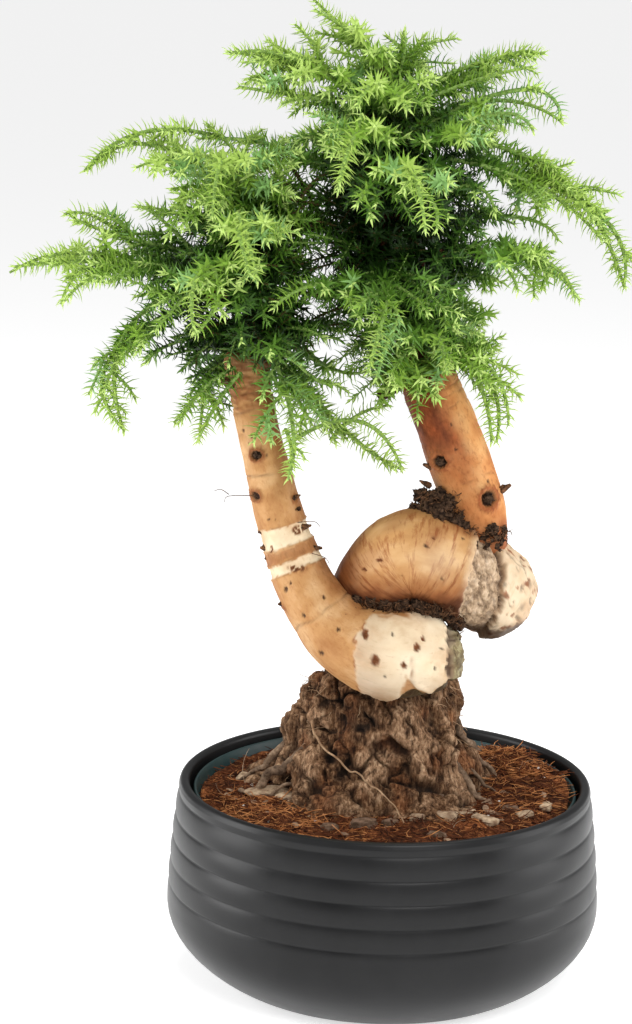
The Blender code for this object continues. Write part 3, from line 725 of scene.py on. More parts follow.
STANDING_HAIRS = (
    # foot, tip, bow sideways
    ((-86, 10), (-84, 12, 138), 3), ((-70, 26), (-74, 22, 132), -2), ((62, 34), (70, 30, 130), 3),
    ((74, 22), (86, 18, 131), -3), ((88, 30), (93, 26, 129), 2), ((-96, -8), (-104, -10, 122), 2),
    ((40, -66), (47, -72, 122), 2), ((-40, 70), (-46, 74, 134), 3),
)


def fallen_chip(x, y, long, wide, high, turn, work, chance):
    """A rough slab of bark with torn ends."""
    made = bmesh.ops.create_icosphere(work, subdivisions=3, radius=1.0)["verts"]
    spin = Matrix.Rotation(math.radians(turn), 3, "Z")
    seed = chance.uniform(0, 50)
    for vertex in made:
        unit = vertex.co.copy()
        boxy = Vector([math.copysign(abs(c) ** 0.55, c) for c in unit])
        torn = 1 + 0.30 * noise.noise(unit * 1.6 + Vector((seed, 0, 0)))
        torn += 0.14 * noise.noise(unit * 5 + Vector((0, seed, 0)))
        shaped = Vector((boxy.x * long, boxy.y * wide, boxy.z * high)) * torn
        vertex.co = (spin @ shaped + Vector((x, y, soil_height(x, y) + high * 0.45))) * MM


def join_rings(name, parts):
    """One mesh from several closed sets of rings."""
    work = bmesh.new()
    for number, rings in enumerate(parts):
        mesh = skin_over(f"{name}_{number}", rings)
        work.from_mesh(mesh)
        bpy.data.meshes.remove(mesh)
    return mesh_from(work, name, smooth=True)


chance = random.Random(53)
for kind, dark, light in (
    ("pale", (0.24, 0.15, 0.09), (0.60, 0.45, 0.30)),
    ("dark", (0.06, 0.035, 0.02), (0.24, 0.15, 0.10)),
):
    name = f"fallen_bark_{kind}"
    work = bmesh.new()
    for *sizes, wanted in FALLEN_CHIPS:
        if wanted == kind:
            fallen_chip(*sizes, work, chance)
    finish = fleck_material(f"fallen_{kind}", dark, light, 4)
    piece_from(name, mesh_from(work, name, smooth=True), finish, ())

hair_parts = []
for (x, y), tip, bow in STANDING_HAIRS:
    foot = Vector((x, y, soil_height(x, y) - 1))
    end = Vector(tip)
    side = (end - foot).cross(Vector((0, 1, 0))).normalized() * bow
    path = [foot.lerp(end, k / 8) + side * (k / 8 * (1 - k / 8) * 4) for k in range(9)]
    hair_parts.append(thin_tube(path, [0.30 * (1 - 0.7 * t) for t in np.linspace(0, 1, 9)]))
piece_from("standing_hairs", join_rings("standing_hairs", hair_parts),
           fleck_material("dry_hair", (0.32, 0.20, 0.12), (0.62, 0.47, 0.32), 4), ())


# ------------------------------------------------------------------ the root stock
# The gnarled stock that the trunks stand on: old roots grown together, grey-brown and ridged, with
# deep crevices between them, painted near black as shade. It flares into buttresses that run into the soil.

STOCK_CENTRE = (-4, 8)
STOCK_BOTTOM = 100.0
STOCK_TOP = 200.0
STOCK_FOOT = (66, 50)      # half widths at the soil, across and deep
STOCK_NECK = (46, 34)      # half widths under the burls
BUTTRESSES = (158, 42, -62, -118, 95)
BUTTRESS_REACH = 20.0
STOCK_SIDES = 300
STOCK_RINGS = 130
STRANDS = 17               # roots grown together round the stock
STOCK_SEED = 5.3


def sampled(points, size, shift, along, read):
    """Reads a field at places in millimetres. along, if below 1, draws its grain out upwards."""
    places = (points * np.array([1, 1, along])).reshape(-1, 3)
    return np.array([read(Vector(p) / size + shift) for p in places]).reshape(points.shape[:-1])


def chance_values(points, size, seed=0.0, along=1):
    """Smooth noise, between -1 and 1."""
    return sampled(points, size, Vector((seed, seed * 1.7, -seed)), along, noise.noise)


def crack_values(points, size, seed, along):
    """How near places are to the cracks between random cells: 0 on a crack, about 1 well inside."""
    def gap(place):
        near = noise.voronoi(place)[0]
        return near[1] - near[0]

    return sampled(points, size, Vector((seed, -seed, seed * 0.6)), along, gap)


def fold_values(points, size, seed):
    """Ridged noise: about 1 on the crests of long folds and 0 in the hollows between them."""
    def ridge(place):
        return noise.ridged_multi_fractal(place, 0.9, 2.1, 3, 1.0, 2.0)

    found = sampled(points, size, Vector((seed, seed * 0.4, -seed * 1.3)), 1, ridge)
    return np.clip(found / 2.2, 0, 1.2)


def smooth_step(low, high, values):
    t = np.clip((values - low) / (high - low), 0, 1)
    return t * t * (3 - 2 * t)


def fade(low, high, values):
    return 1 - smooth_step(low, high, values)


def hump(apart, width):
    """1 where apart is 0, and next to nothing from about two widths on."""
    return np.exp(-(apart / width) ** 2)


def wandered(rings, size, seeds, reach):
    """Places moved about by chance, so that what is drawn on them doesn't run straight."""
    return rings + np.stack([chance_values(rings, size, s) for s in seeds], axis=-1) * reach


def ring_normals(rings):
    """Outward directions at the places of a set of rings."""
    along = np.gradient(rings, axis=0)
    across = np.roll(rings, -1, axis=1) - np.roll(rings, 1, axis=1)
    found = np.cross(across, along)
    found /= np.maximum(np.linalg.norm(found, axis=-1, keepdims=True), 1e-9)
    outward = rings - rings.mean(axis=1, keepdims=True)
    if (found * outward).sum() < 0:
        found = -found
    return found


def painted(mesh, paint, unrolled=None):
    """Keeps the shares of the four paints, and the place on the straightened limb, on the mesh."""
    def with_poles(rows, width):
        return np.vstack([rows.reshape(-1, width), rows[0].mean(axis=0), rows[-1].mean(axis=0)])

    kept = mesh.color_attributes.new("paint", "FLOAT_COLOR", "POINT")
    kept.data.foreach_set("color", with_poles(np.clip(paint, 0, 1), 4).astype(np.float32).ravel())
    if unrolled is not None:
        kept = mesh.attributes.new("unrolled", "FLOAT_VECTOR", "POINT")
        kept.data.foreach_set("vector", (with_poles(unrolled, 3) * MM).astype(np.float32).ravel())


def stock_rings():
    cx, cy = STOCK_CENTRE
    angles = turn_angles(STOCK_SIDES)
    rings = []
    for z in np.linspace(STOCK_BOTTOM, STOCK_TOP - 1, STOCK_RINGS):
        share = max((z - SOIL_LEVEL) / (STOCK_TOP - SOIL_LEVEL), 0)
        flare = (1 - share) ** 2.2
        crown = math.sqrt(max(1 - max(share - 0.62, 0) ** 2 / 0.165, 0.0))
        ridge = sum(np.maximum(np.cos(angles - math.radians(b)), 0) ** 14 for b in BUTTRESSES)
        wide = STOCK_NECK[0] + (STOCK_FOOT[0] - STOCK_NECK[0]) * flare
        deep = STOCK_NECK[1] + (STOCK_FOOT[1] - STOCK_NECK[1]) * flare
        lump = 1 + 0.05 * np.sin(3 * angles + z * 0.11) + 0.04 * np.sin(5 * angles - z * 0.17)
        reach = BUTTRESS_REACH * ridge * (1 - share) ** 3.0
        rings.append(np.stack([
            cx + (wide * lump * crown + reach) * np.cos(angles),
            cy + (deep * lump * crown + reach) * np.sin(angles),
            np.full_like(angles, z),
        ], axis=-1))
    return np.array(rings)


def strand_relief(rings, chance):
    """Height of the grown-together roots over the stock."""
    cx, cy = STOCK_CENTRE
    angle = np.arctan2(rings[..., 1] - cy, rings[..., 0] - cx)
    share = (rings[..., 2] - STOCK_BOTTOM) / (STOCK_TOP - STOCK_BOTTOM)
    sway = chance_values(rings, 26, STOCK_SEED) * 0.30 + chance_values(rings, 9, STOCK_SEED + 4) * 0.10
    height = np.full(angle.shape, -1.2)
    for k in range(STRANDS):
        start = 2 * math.pi * (k + chance.uniform(-0.3, 0.3)) / STRANDS
        lean = chance.uniform(-0.75, 0.75)
        half_width = chance.uniform(0.13, 0.27)
        rise = chance.uniform(2.4, 5.6)
        apart = np.angle(np.exp(1j * (angle + sway - start - lean * share)))
        bump = np.sqrt(np.clip(1 - (apart / half_width) ** 2, 0, 1))
        height = np.maximum(height, rise * bump - 1.2)
    return height


rings = stock_rings()
facing = ring_normals(rings)
strand = strand_relief(rings, random.Random(12))
bent = wandered(rings, 11, (41.0, 52.0, 63.0), 5.0)
bent[..., 0] += (bent[..., 2] - 150) * 0.35
cracks = crack_values(bent, 14, 2.0, 0.62)
fine_cracks = crack_values(bent, 5.2, 7.0, 0.40)
folds = fold_values(bent * np.array([0.75, 0.75, 1.0]), 11, 5.0)
lumps = chance_values(rings, 17, 3.0)
grain = chance_values(bent, 1.7, 8.0, 0.30)
crevice = fade(0.0, 0.16, cracks) * smooth_step(-0.30, 0.25, chance_values(rings, 16, 71.0))
fine_crevice = fade(0.0, 0.13, fine_cracks) * smooth_step(-0.2, 0.3, chance_values(rings, 9, 73.0))
x, y, z = rings[..., 0], rings[..., 1], rings[..., 2]
torn_left = hump(x + 40, 13) * smooth_step(128, 140, z) * fade(176, 190, z)
height = 0.75 * strand + 3.0 * lumps + 3.4 * (folds - 0.45) - 3.6 * crevice
height = height - 0.8 * fine_crevice + 0.75 * grain
height -= 2.6 * torn_left * smooth_step(0.15, -0.25, chance_values(rings, 6, 75.0))
rings = rings + facing * height[..., None]
# Painted shade: sunk is laid where the surface lies low and in the crevices, and paints them near black.
sunk = np.maximum(smooth_step(-0.6, -4.2, height), 0.85 * crevice)
# Partly painted highlight: pale is laid on the raised crests, and most on the side that faces the front, in
# patches laid by chance for the bark's real paler patches.
front = smooth_step(0.1, 0.8, -facing[..., 1])
pale = smooth_step(-0.4, 3.4, height + 1.2 * chance_values(rings, 5, 1.0)) * (0.60 + 0.40 * front)
pale *= smooth_step(-0.60, 0.0, chance_values(rings, 19, 6.0))
reddish = smooth_step(0.0, 0.5, chance_values(rings, 15, 9.0))
# Painted shade: the fine cracks, kept as the fourth paint, are darkened in the bark.
paint = np.stack([pale, sunk, reddish, fine_crevice], axis=-1)
stock_mesh = skin_over("root_stock_bark", rings)
painted(stock_mesh, paint)


def paint_channels(shader):
    """The four paints kept on a mesh, as single values."""
    kept = add_node(shader.id_data, "ShaderNodeAttribute", attribute_name="paint")
    split = add_node(shader.id_data, "ShaderNodeSeparateColor", {0: kept.outputs["Color"]}).outputs
    return split[0], split[1], split[2], kept.outputs["Alpha"]


root_bark, shader = plain_material("root_bark", (0.14, 0.09, 0.055), 0.9)
pale_and_highlight_share, hollow_shade_share, red_share, crack_shade_share = paint_channels(shader)
place = object_place(shader)
fibres = speckle(place, 2.2, detail=6, roughness=0.72, stretch=(1, 1, 3.5))
old, tan, rust = [ramp(fibres, *stops) for stops in (
    ((0.36, (0.020, 0.009, 0.004)), (0.50, (0.125, 0.060, 0.028)), (0.64, (0.33, 0.185, 0.095))),
    ((0.36, (0.060, 0.032, 0.018)), (0.50, (0.36, 0.205, 0.112)), (0.64, (0.68, 0.470, 0.290))),
    ((0.36, (0.030, 0.009, 0.004)), (0.52, (0.20, 0.066, 0.022)), (0.66, (0.38, 0.15, 0.055))),
)]
colour = mixed(times(red_share, 0.55), old, rust)
# Pale patches, partly a painted highlight on the crests and the front.
colour = mixed(times(pale_and_highlight_share, 0.95), colour, tan)
# Painted shade in the fine cracks.
colour = mixed(times(crack_shade_share, 0.65), colour, (0.03, 0.016, 0.010))
# Painted shade: the hollows and crevices go near black.
colour = mixed(hollow_shade_share, colour, (0.010, 0.006, 0.004))
feed(shader, "Base Color", colour)
relief_on(shader, fibres, 1.8)
piece_from("root_stock_bark", stock_mesh, root_bark, ("root_stock",))


# Free roots run down over the stock and out into the soil, thick at the neck and thin at the
# far end, and a few curly hair roots stand off the stock's side.

FREE_ROOTS = (
    # stops (angle in degrees, distance from the stock's middle, height), thickness at the neck
    (((-152, 42, 154), (-158, 56, 138), (-163, 70, 124), (-167, 86, 114)), 4.2),
    (((172, 46, 160), (170, 58, 142), (174, 72, 126), (170, 86, 115)), 3.4),
    (((-128, 34, 156), (-132, 46, 138), (-139, 60, 124), (-146, 76, 113)), 2.6),
    (((-62, 34, 150), (-58, 44, 136), (-54, 57, 123), (-50, 70, 113)), 4.0),
    (((-30, 42, 154), (-28, 54, 138), (-26, 66, 124), (-22, 80, 113)), 3.4),
    (((4, 48, 160), (6, 60, 141), (10, 70, 125), (14, 82, 114)), 3.0),
    (((34, 48, 156), (38, 60, 138), (42, 72, 123), (46, 84, 114)), 3.4),
    (((72, 38, 156), (76, 50, 138), (80, 62, 123), (84, 76, 114)), 3.8),
    (((108, 38, 154), (112, 50, 138), (116, 62, 123), (122, 78, 114)), 3.6),
    (((142, 44, 154), (146, 56, 138), (150, 68, 124), (154, 82, 114)), 3.2),
    (((-142, 48, 132), (-150, 60, 124), (-158, 74, 117), (-164, 92, 113)), 1.5),
    (((-20, 54, 136), (-16, 64, 128), (-14, 74, 119), (-8, 88, 113)), 1.4),
    (((-118, 44, 130), (-126, 56, 121), (-136, 70, 115), (-140, 86, 112)), 1.3),
    (((-96, 40, 134), (-102, 50, 124), (-112, 62, 117), (-118, 76, 112)), 1.5),
)
PALE_STRAND = (
    (-46, -12, 166), (-44, -20, 158), (-38, -26, 150), (-31, -34, 147), (-24, -35, 141),
    (-17, -42, 140), (-10, -43, 133), (-3, -49, 130), (3, -50, 124), (8, -56, 119), (12, -64, 113.5),
)
HAIR_ROOTS = 90
SWAY_SEED = 1795457796     # noise_vector starts from the clock unless it is given a seed


def curve_point(a, b, c, d, t):
    """The place at a share t of the way from b to c, on a smooth line through all four."""
    return 0.5 * (2 * b + (c - a) * t + (2 * a - 5 * b + 4 * c - d) * t ** 2
                  + (3 * b - a - 3 * c + d) * t ** 3)


def smoothed(stops, count):
    """A smooth path through a few stops."""
    stops = np.asarray(stops, float)
    ends = np.vstack([2 * stops[0] - stops[1], stops, 2 * stops[-1] - stops[-2]])
    found = []
    for t in np.linspace(0, len(stops) - 1, count):
        k = min(int(t), len(stops) - 2)
        found.append(curve_point(*ends[k:k + 4], t - k))
    return np.array(found)


def swayed(path, size, reach, seed=0.0):
    """Moves a path from side to side by chance."""
    for k, place in enumerate(path):
        path[k] += np.array(noise.noise_vector(Vector(place) / size + Vector((seed, 0, 0)))) * reach
    return path


def bumpy(rings, bumps):
    """Rings of places moved out from their middles by a share of their distance to them."""
    middle = rings.mean(axis=1, keepdims=True)
    return middle + (rings - middle) * (1 + bumps[..., None])


def free_root_rings(stops, thick, chance, steps=70, sides=12):
    cx, cy = STOCK_CENTRE
    places = []
    for turn, apart, z in stops:
        angle = math.radians(turn)
        places.append((cx + apart * math.cos(angle), cy + apart * 0.84 * math.sin(angle), z))
    seed = chance.uniform(0, 40)
    path = swayed(smoothed(places, steps), 13, 5.0, seed)
    radii = [thick * (0.7 + 0.3 * math.sin(t * 3)) * (1 - 0.62 * t) for t in np.linspace(0, 1, steps)]
    rings = thin_tube(path, radii, sides)
    return bumpy(rings, chance_values(rings, 2.4, seed) * 0.30 + chance_values(rings, 7.0, seed + 3) * 0.45)


def wandering_line(start, heading, steps, shortest, longest, chance, sink=0.0):
    """A line that turns a little at each step, and sinks."""
    path = [start]
    for _ in range(steps):
        turn = Vector([chance.uniform(-0.5, 0.5) for _ in range(3)])
        heading = (heading + turn - Vector((0, 0, sink))).normalized()
        path.append(path[-1] + heading * chance.uniform(shortest, longest))
    return path


noise.seed_set(SWAY_SEED)
chance = random.Random(64)
root_parts = [free_root_rings(stops, thick, chance) for stops, thick in FREE_ROOTS]
free_bark, shader = plain_material("free_root_bark", (0.2, 0.13, 0.08), 0.88)
place = object_place(shader)
streak = speckle(place, 2.2, detail=5, roughness=0.65)
blotch = speckle(place, 16, detail=4)
dark, light = [ramp(streak, *zip((0.30, 0.62, 0.82), colours)) for colours in (
    ((0.050, 0.030, 0.020), (0.17, 0.11, 0.07), (0.30, 0.21, 0.14)),
    ((0.14, 0.085, 0.050), (0.36, 0.25, 0.165), (0.50, 0.38, 0.27)),
)]
feed(shader, "Base Color", mixed(ramp(blotch, (0.45, 0.0), (0.62, 1.0)), dark, light))
relief_on(shader, streak, 0.6, 0.9)
piece_from("free_roots", join_rings("free_roots", root_parts), free_bark, ())

strand_path = swayed(smoothed(PALE_STRAND, 60), 6, 1.8)
hair_parts = [thin_tube(strand_path, [0.75 - 0.35 * t for t in np.linspace(0, 1, 60)], 7)]
for _ in range(HAIR_ROOTS):
    angle = chance.choice((
        chance.uniform(2.6, 3.9), chance.uniform(0, 2 * math.pi), chance.uniform(-0.6, 0.3)))
    height = chance.uniform(120, 186)
    share = (height - SOIL_LEVEL) / 86
    reach = 44 + 20 * (1 - share) ** 2
    across, deep = math.cos(angle), math.sin(angle)
    start = Vector((STOCK_CENTRE[0] + reach * across, STOCK_CENTRE[1] + reach * 0.78 * deep, height))
    heading = Vector((across, deep, chance.uniform(-0.9, 0.3))).normalized()
    path = wandering_line(start - heading * 4, heading, 8, 0.9, 2.2, chance, 0.12)
    hair_parts.append(thin_tube(path, [0.32 * (1 - 0.6 * k / 8) for k in range(9)]))
piece_from("root_hairs", join_rings("root_hairs", hair_parts),
           fleck_material("root_hair", (0.26, 0.15, 0.08), (0.56, 0.38, 0.23), 5), ())


# ------------------------------------------------------------------ the left trunk
# A smooth tan trunk that rises from a swollen, barkless burl at its foot. Two rings of pale
# wood run round it where the bark was taken off, and dark knots mark lost twigs.

LEFT_TRUNK = (
    (19, -25, 210, 25.5), (5, -29, 211, 27.5), (-11, -30, 214, 26),
    (-29, -26, 223, 22.6), (-46.5, -20, 242, 18.8), (-59.2, -14, 267, 16.2), (-69.5, -10, 298, 14.5),
    (-78.2, -6, 329, 13.0), (-84.6, -4, 357, 12.3), (-88, -2, 375, 13.2), (-88, -2, 385, 14.6),
)
LEFT_KNOTS = (
    # place, half width, half height, kind
    ((-82, -20, 330), 3.3, 2.9, "knot"), ((-76, -21, 330), 1.2, 1.3, "dot"),
    ((-82, -18, 305), 3.0, 2.6, "knot"), ((-58, -22, 304), 1.9, 2.4, "knot"),
    ((-57, -23, 298), 1.5, 1.8, "dot"), ((-53, -20, 301), 1.3, 1.3, "dot"),
    ((-74, -25, 292), 0.9, 0.9, "dot"), ((-70, -27, 292), 0.8, 0.9, "dot"),
    ((-90, -13, 344), 1.1, 1.2, "dot"), ((-85, -18, 341), 1.2, 1.1, "dot"),
    ((-87, -18, 337), 0.9, 1.0, "dot"), ((-86, -19, 316), 0.8, 0.9, "dot"),
    ((-63, -32, 251), 1.4, 2.0, "dot"), ((-60, -34, 255), 1.0, 1.2, "dot"),
    ((-52, -39, 237), 1.6, 1.3, "dot"), ((-66, -28, 238), 2.2, 1.6, "knot"),
    ((-41, -43, 215), 1.9, 1.7, "dot"), ((-31, -47, 231), 1.4, 1.1, "dot"),
    ((-40, -36, 248), 1.1, 1.4, "dot"), ((-72, 6, 320), 3.0, 2.6, "knot"),
    ((-60, 8, 280), 2.6, 2.4, "knot"), ((-88, 12, 350), 2.2, 2.0, "knot"),
    ((-40, 2, 250), 2.6, 2.2, "knot"),
)
BURL_SCARS = (
    ((-15, -50, 229), 2.0, 3.2, "scar"), ((-9, -56, 215), 2.6, 3.9, "scar"),
    ((15, -51, 222), 2.0, 2.6, "scar"), ((19, -47, 226), 1.3, 1.6, "scar"),
    ((8, -56, 212), 1.6, 2.5, "scar"), ((27, -49, 209), 1.2, 1.4, "dot"),
    ((1, -50, 229), 1.0, 1.2, "dot"), ((-3, -57, 205), 1.0, 1.1, "dot"),
    ((30, -44, 220), 1.2, 1.0, "dot"), ((38, -34, 222), 1.5, 1.5, "dot"),
    ((24, -44, 232), 1.0, 0.9, "dot"), ((-12, -40, 236), 1.2, 0.9, "dot"),
)
PEELED_RINGS = (
    # height on the trunk's axis, half height, waver
    (280.5, 5.6, 0.9), (263.0, 3.0, 0.7),
)
RED_BLOTCHES = (
    # place, half width, half height
    ((-54, -26, 286), 5.0, 2.6), ((-57, -28, 264), 6.5, 2.4), ((-72, -22, 273), 1.6, 4.0),
)
TORN_TOP = 352.0           # above this the bark is torn and red-brown
RING_SCARS = (356, 361.5, 366, 371, 377, 318, 342, 234)
WOOD, DARK, RED, OLD = range(4)     # the paints: bare wood and a painted highlight, pits and painted shade, red-brown bark and painted shade, old crust


def curve_through(stations, steps):
    """A smooth line through (x, y, z, radius) stations, as rows of the same four values."""
    ends = np.array([stations[0], *stations, stations[-1]], float)
    found = [curve_point(*ends[k:k + 4], j / steps) for k in range(len(stations) - 1) for j in range(steps)]
    return np.array(found + [ends[-1]])


def limb_rings(stations, spacing, sides, round_foot=False, round_tip=False):
    """Evenly spaced rings over a limb. Returns the rings, their outward directions, the run of
    each ring along the limb and the limb's straightened places."""
    line = curve_through(stations, 24)
    steps = np.linalg.norm(np.diff(line[:, :3], axis=0), axis=1)
    run = np.concatenate([[0], np.cumsum(steps)])
    even = np.linspace(0, run[-1], max(int(run[-1] / spacing), 8))
    line = np.stack([np.interp(even, run, line[:, n]) for n in range(4)], axis=1)
    angles = turn_angles(sides)
    rings, facings, runs, flat = [], [], [], []
    across = None
    frames = []
    for k in range(len(line)):
        along = Vector(line[min(k + 1, len(line) - 1), :3] - line[max(k - 1, 0), :3]).normalized()
        if across is None:
            guide = Vector((0, 1, 0)) if abs(along.y) < 0.8 else Vector((1, 0, 0))
            across = along.cross(guide).normalized()
        across = (across - along * across.dot(along)).normalized()
        frames.append((np.array(along), np.array(across), np.array(along.cross(across))))

    def add_ring(centre, radius, frame, run_here, slope):
        along, first, second = frame
        spokes = np.outer(np.cos(angles), first) + np.outer(np.sin(angles), second)
        rings.append(centre + radius * spokes)
        facings.append(spokes * math.cos(slope) + along * math.sin(slope))
        runs.append(run_here)
        flat.append(np.stack([radius * np.cos(angles), radius * np.sin(angles),
                              np.full(sides, run_here)], axis=-1))

    if round_foot:
        radius = line[0, 3]
        for slope in np.radians(np.linspace(84, 4, 16)):
            add_ring(line[0, :3] - frames[0][0] * radius * math.sin(slope), radius * math.cos(slope),
                     frames[0], -radius * slope, -slope)
    for row, frame, run_here in zip(line, frames, even):
        add_ring(row[:3], row[3], frame, run_here, 0.0)
    if round_tip:
        radius = line[-1, 3]
        for slope in np.radians(np.linspace(8, 84, 9)):
            add_ring(line[-1, :3] + frames[-1][0] * radius * 0.35 * math.sin(slope),
                     radius * math.cos(slope), frames[-1], even[-1] + radius * 0.35 * slope, slope)
    return np.array(rings), np.array(facings), np.array(runs), np.array(flat)


def nearness(rings, place, half_width, half_height, depth):
    """How far places are from a mark, counted in its own half sizes; under 1 is inside it."""
    x, y, z = np.moveaxis(rings - np.array(place, float), -1, 0)
    return np.sqrt((x / half_width) ** 2 + (z / half_height) ** 2 + (y / depth) ** 2)


def lay(paint, channel, share):
    """Lays a paint on, wherever there is less of it so far."""
    paint[..., channel] = np.maximum(paint[..., channel], share)


def mark_limb(rings, paint, height, marks, seed):
    """Adds knots, dots and scars to a limb: dark pits with a raised lip, painted dark and red."""
    waver = 1 + 0.28 * chance_values(rings, 1.6, seed)
    for place, half_width, half_height, kind in marks:
        depth = max(half_width, half_height) * 2.4
        apart = nearness(rings, place, half_width, half_height, depth) * waver
        inside = fade(0.72, 1.06, apart)
        lip = hump(apart - 1.25, 0.45)
        if kind == "knot":
            height += 1.1 * lip * half_width / 3 - 1.5 * inside + 1.1 * hump(apart, 0.4)
            lay(paint, DARK, inside)
            lay(paint, RED, 0.9 * lip)
        elif kind == "scar":
            height += -1.0 * inside + 0.25 * lip
            lay(paint, DARK, 0.42 * inside)
            lay(paint, RED, inside)
        else:
            height += -0.6 * inside + 0.25 * lip
            lay(paint, DARK, 0.9 * inside)


def ring_scars(levels, waver, low, high, depth, shade):
    """Draws fine dark lines round the trunk at hand, where whorls of twigs once stood. Each is
    broken here and there."""
    for level in levels:
        line = hump(axis_height - level + waver * wide + 0.8 * middling, 0.6)
        strength = smooth_step(low, high, chance_values(rings, 12, level * 0.1))
        height[...] -= depth * line * strength
        lay(paint, DARK, shade * line * strength)


def barked(name, rings, facing, height, paint, flat, finish):
    """Raises a limb's skin by its relief and makes it the piece that stands over its solid."""
    mesh = skin_over(name + "_bark", rings + facing * height[..., None])
    painted(mesh, paint, flat)
    piece_from(name + "_bark", mesh, finish, (name,))


def straight_place(shader):
    """The place on the straightened limb, so that a pattern follows the limb's bends."""
    return add_node(shader.id_data, "ShaderNodeAttribute", attribute_name="unrolled").outputs["Vector"]


def bark_material(name, darkest, middle, lightest, red, old_bark, streak_run, streak_share):
    """Smooth living bark: tan with fine dark streaks, under four paints for bare wood and a painted
    highlight, pits and painted shade, red bark and painted shade, and old crust."""
    made, shader = plain_material(name, middle, 0.55)
    bare_share, dark_share, red_share, old_share = paint_channels(shader)
    place = straight_place(shader)
    broad = speckle(place, 20, detail=5)
    streaks = speckle(place, 2.0, detail=5, roughness=0.65, stretch=streak_run)
    pores = speckle(place, 0.9, detail=2)
    tan = ramp(broad, (0.30, darkest), (0.50, middle), (0.72, lightest))
    tan = mixed(times(ramp(streaks, (0.51, 0.0), (0.66, 1.0)), streak_share), tan, red)
    warm = mixed(ramp(streaks, (0.35, 0.0), (0.65, 1.0)), red, tuple(c * 0.55 for c in red))
    wood = ramp(broad, (0.30, (0.60, 0.40, 0.23)), (0.52, (0.78, 0.62, 0.42)),
                (0.75, (0.86, 0.73, 0.54)))
    wood = mixed(times(ramp(streaks, (0.58, 0.0), (0.72, 1.0)), 0.35), wood, (0.50, 0.30, 0.15))
    colour = mixed(bare_share, tan, wood)
    colour = mixed(red_share, colour, warm)
    crust = speckle(object_place(shader), 3.4, detail=6, roughness=0.7, stretch=(1, 1, 1.6))
    colour = mixed(times(old_share, 0.92), colour, ramp(crust, *zip((0.32, 0.50, 0.70), old_bark)))
    colour = mixed(dark_share, colour, (0.035, 0.014, 0.008))
    feed(shader, "Base Color", colour)
    feed(shader, "Roughness", ramp(streaks, (0.3, 0.48), (0.7, 0.68)))
    relief_on(shader, plus(times(streaks, 0.7), times(pores, 0.3)), 0.35, 0.7)
    return made


rings, facing, runs, flat = limb_rings(LEFT_TRUNK, 1.0, 132, round_foot=True, round_tip=True)
x, y, z = rings[..., 0], rings[..., 1], rings[..., 2]
wide = chance_values(flat, 17, 1.0, 0.6)
middling = chance_values(flat, 6, 2.0, 0.5)
height = 0.9 * wide + 0.35 * middling + 0.10 * chance_values(flat, 2.0, 3.0, 0.4)
paint = np.zeros(rings.shape[:2] + (4,))

# The barkless burl at the foot, cream wood with a lobed edge of bark round it.
edge = 3.6 * chance_values(rings, 9.0, 4.0) + 1.8 * chance_values(rings, 2.8, 4.5)
left_edge = -22 + 5.5 * ((z - 214) / 19) ** 2
left_reach = x + edge * 0.9
low_reach = z + edge * 0.6
low_edge = 193 - 7 * hump(x + 2, 7.5) - 5 * hump(x - 25, 5.0) + 0.22 * (x - 5).clip(0, 30)
bare = smooth_step(-1.0, 1.0, left_reach - left_edge) * smooth_step(-0.9, 0.9, low_reach - low_edge)
bare *= fade(236.5, 238.5, low_reach)
seam = hump(x - 12.5 - 3.0 * chance_values(rings, 9, 5.0), 0.8) * smooth_step(195, 200, z)
seam *= fade(214, 219, z)
wedge = fade(-0.8, 0.8, np.abs(x - 13 + 0.25 * (z - 192) + edge * 0.3) - 6.0 * fade(190, 206, z))
wedge = wedge * smooth_step(188, 190, z) * (z < 207)
rift = smooth_step(33.0, 35.5, left_reach)
moss = smooth_step(36.5, 38.5, left_reach)
rift_alone = (rift - moss).clip(0, 1)
under = fade(-3.2, -0.8, low_reach - low_edge)
lifted = hump(low_reach - low_edge - 1.2, 1.5) * smooth_step(-26, -20, x)
torn_edge = hump(left_reach - left_edge + 0.6, 0.8) * smooth_step(-0.3, 0.2, middling) * (z < 236) * (z > 190)
# Painted shade: the cream wood is painted peach towards its left side and its foot, and here and there by
# chance.
peach_and_shade = bare * (0.60 * fade(-18, 6, x) + 0.45 * fade(192, 210, z) + 0.35 * smooth_step(0.1, 0.6, wide))
height += bare * (0.7 + 0.6 * wide) - 1.4 * seam - 2.8 * rift_alone + 1.0 * lifted - 1.4 * wedge
height += moss * (1.6 * middling + 1.5 * chance_values(rings, 2.6, 5.5)) - 1.5 * under

# The two peeled rings. Their edges are torn, and the wood between them is orange.
on_axis = runs >= 0
axis_height = np.interp(runs, runs[on_axis], rings.mean(axis=1)[on_axis, 2])[:, None]
torn = 1.3 * chance_values(rings, 5.0, 6.0) + 0.7 * chance_values(rings, 1.8, 6.5)
for middle, half, waver in PEELED_RINGS:
    apart = np.abs(axis_height - middle + waver * torn)
    peeled = fade(half - 0.35, half + 0.35, apart)
    rim = hump(apart - half - 0.5, 0.55)
    height += -0.75 * peeled + 0.55 * rim
    bare = np.maximum(bare, peeled)
    lay(paint, DARK, 0.35 * rim * smooth_step(-0.2, 0.5, middling))
between = smooth_step(266.5, 268, axis_height + torn) * fade(272.5, 274, axis_height + torn)
speck = chance_values(rings, 1.5, 8.0)
for place, half_width, half_height in RED_BLOTCHES:
    blotch = fade(0.6, 1.15, nearness(rings, place, half_width, half_height, 12) + 0.35 * middling)
    blotch *= smooth_step(-0.05, 0.12, speck)
    lay(paint, DARK, 0.55 * blotch)
    lay(paint, RED, blotch)
    bare = bare * (1 - 0.8 * blotch)
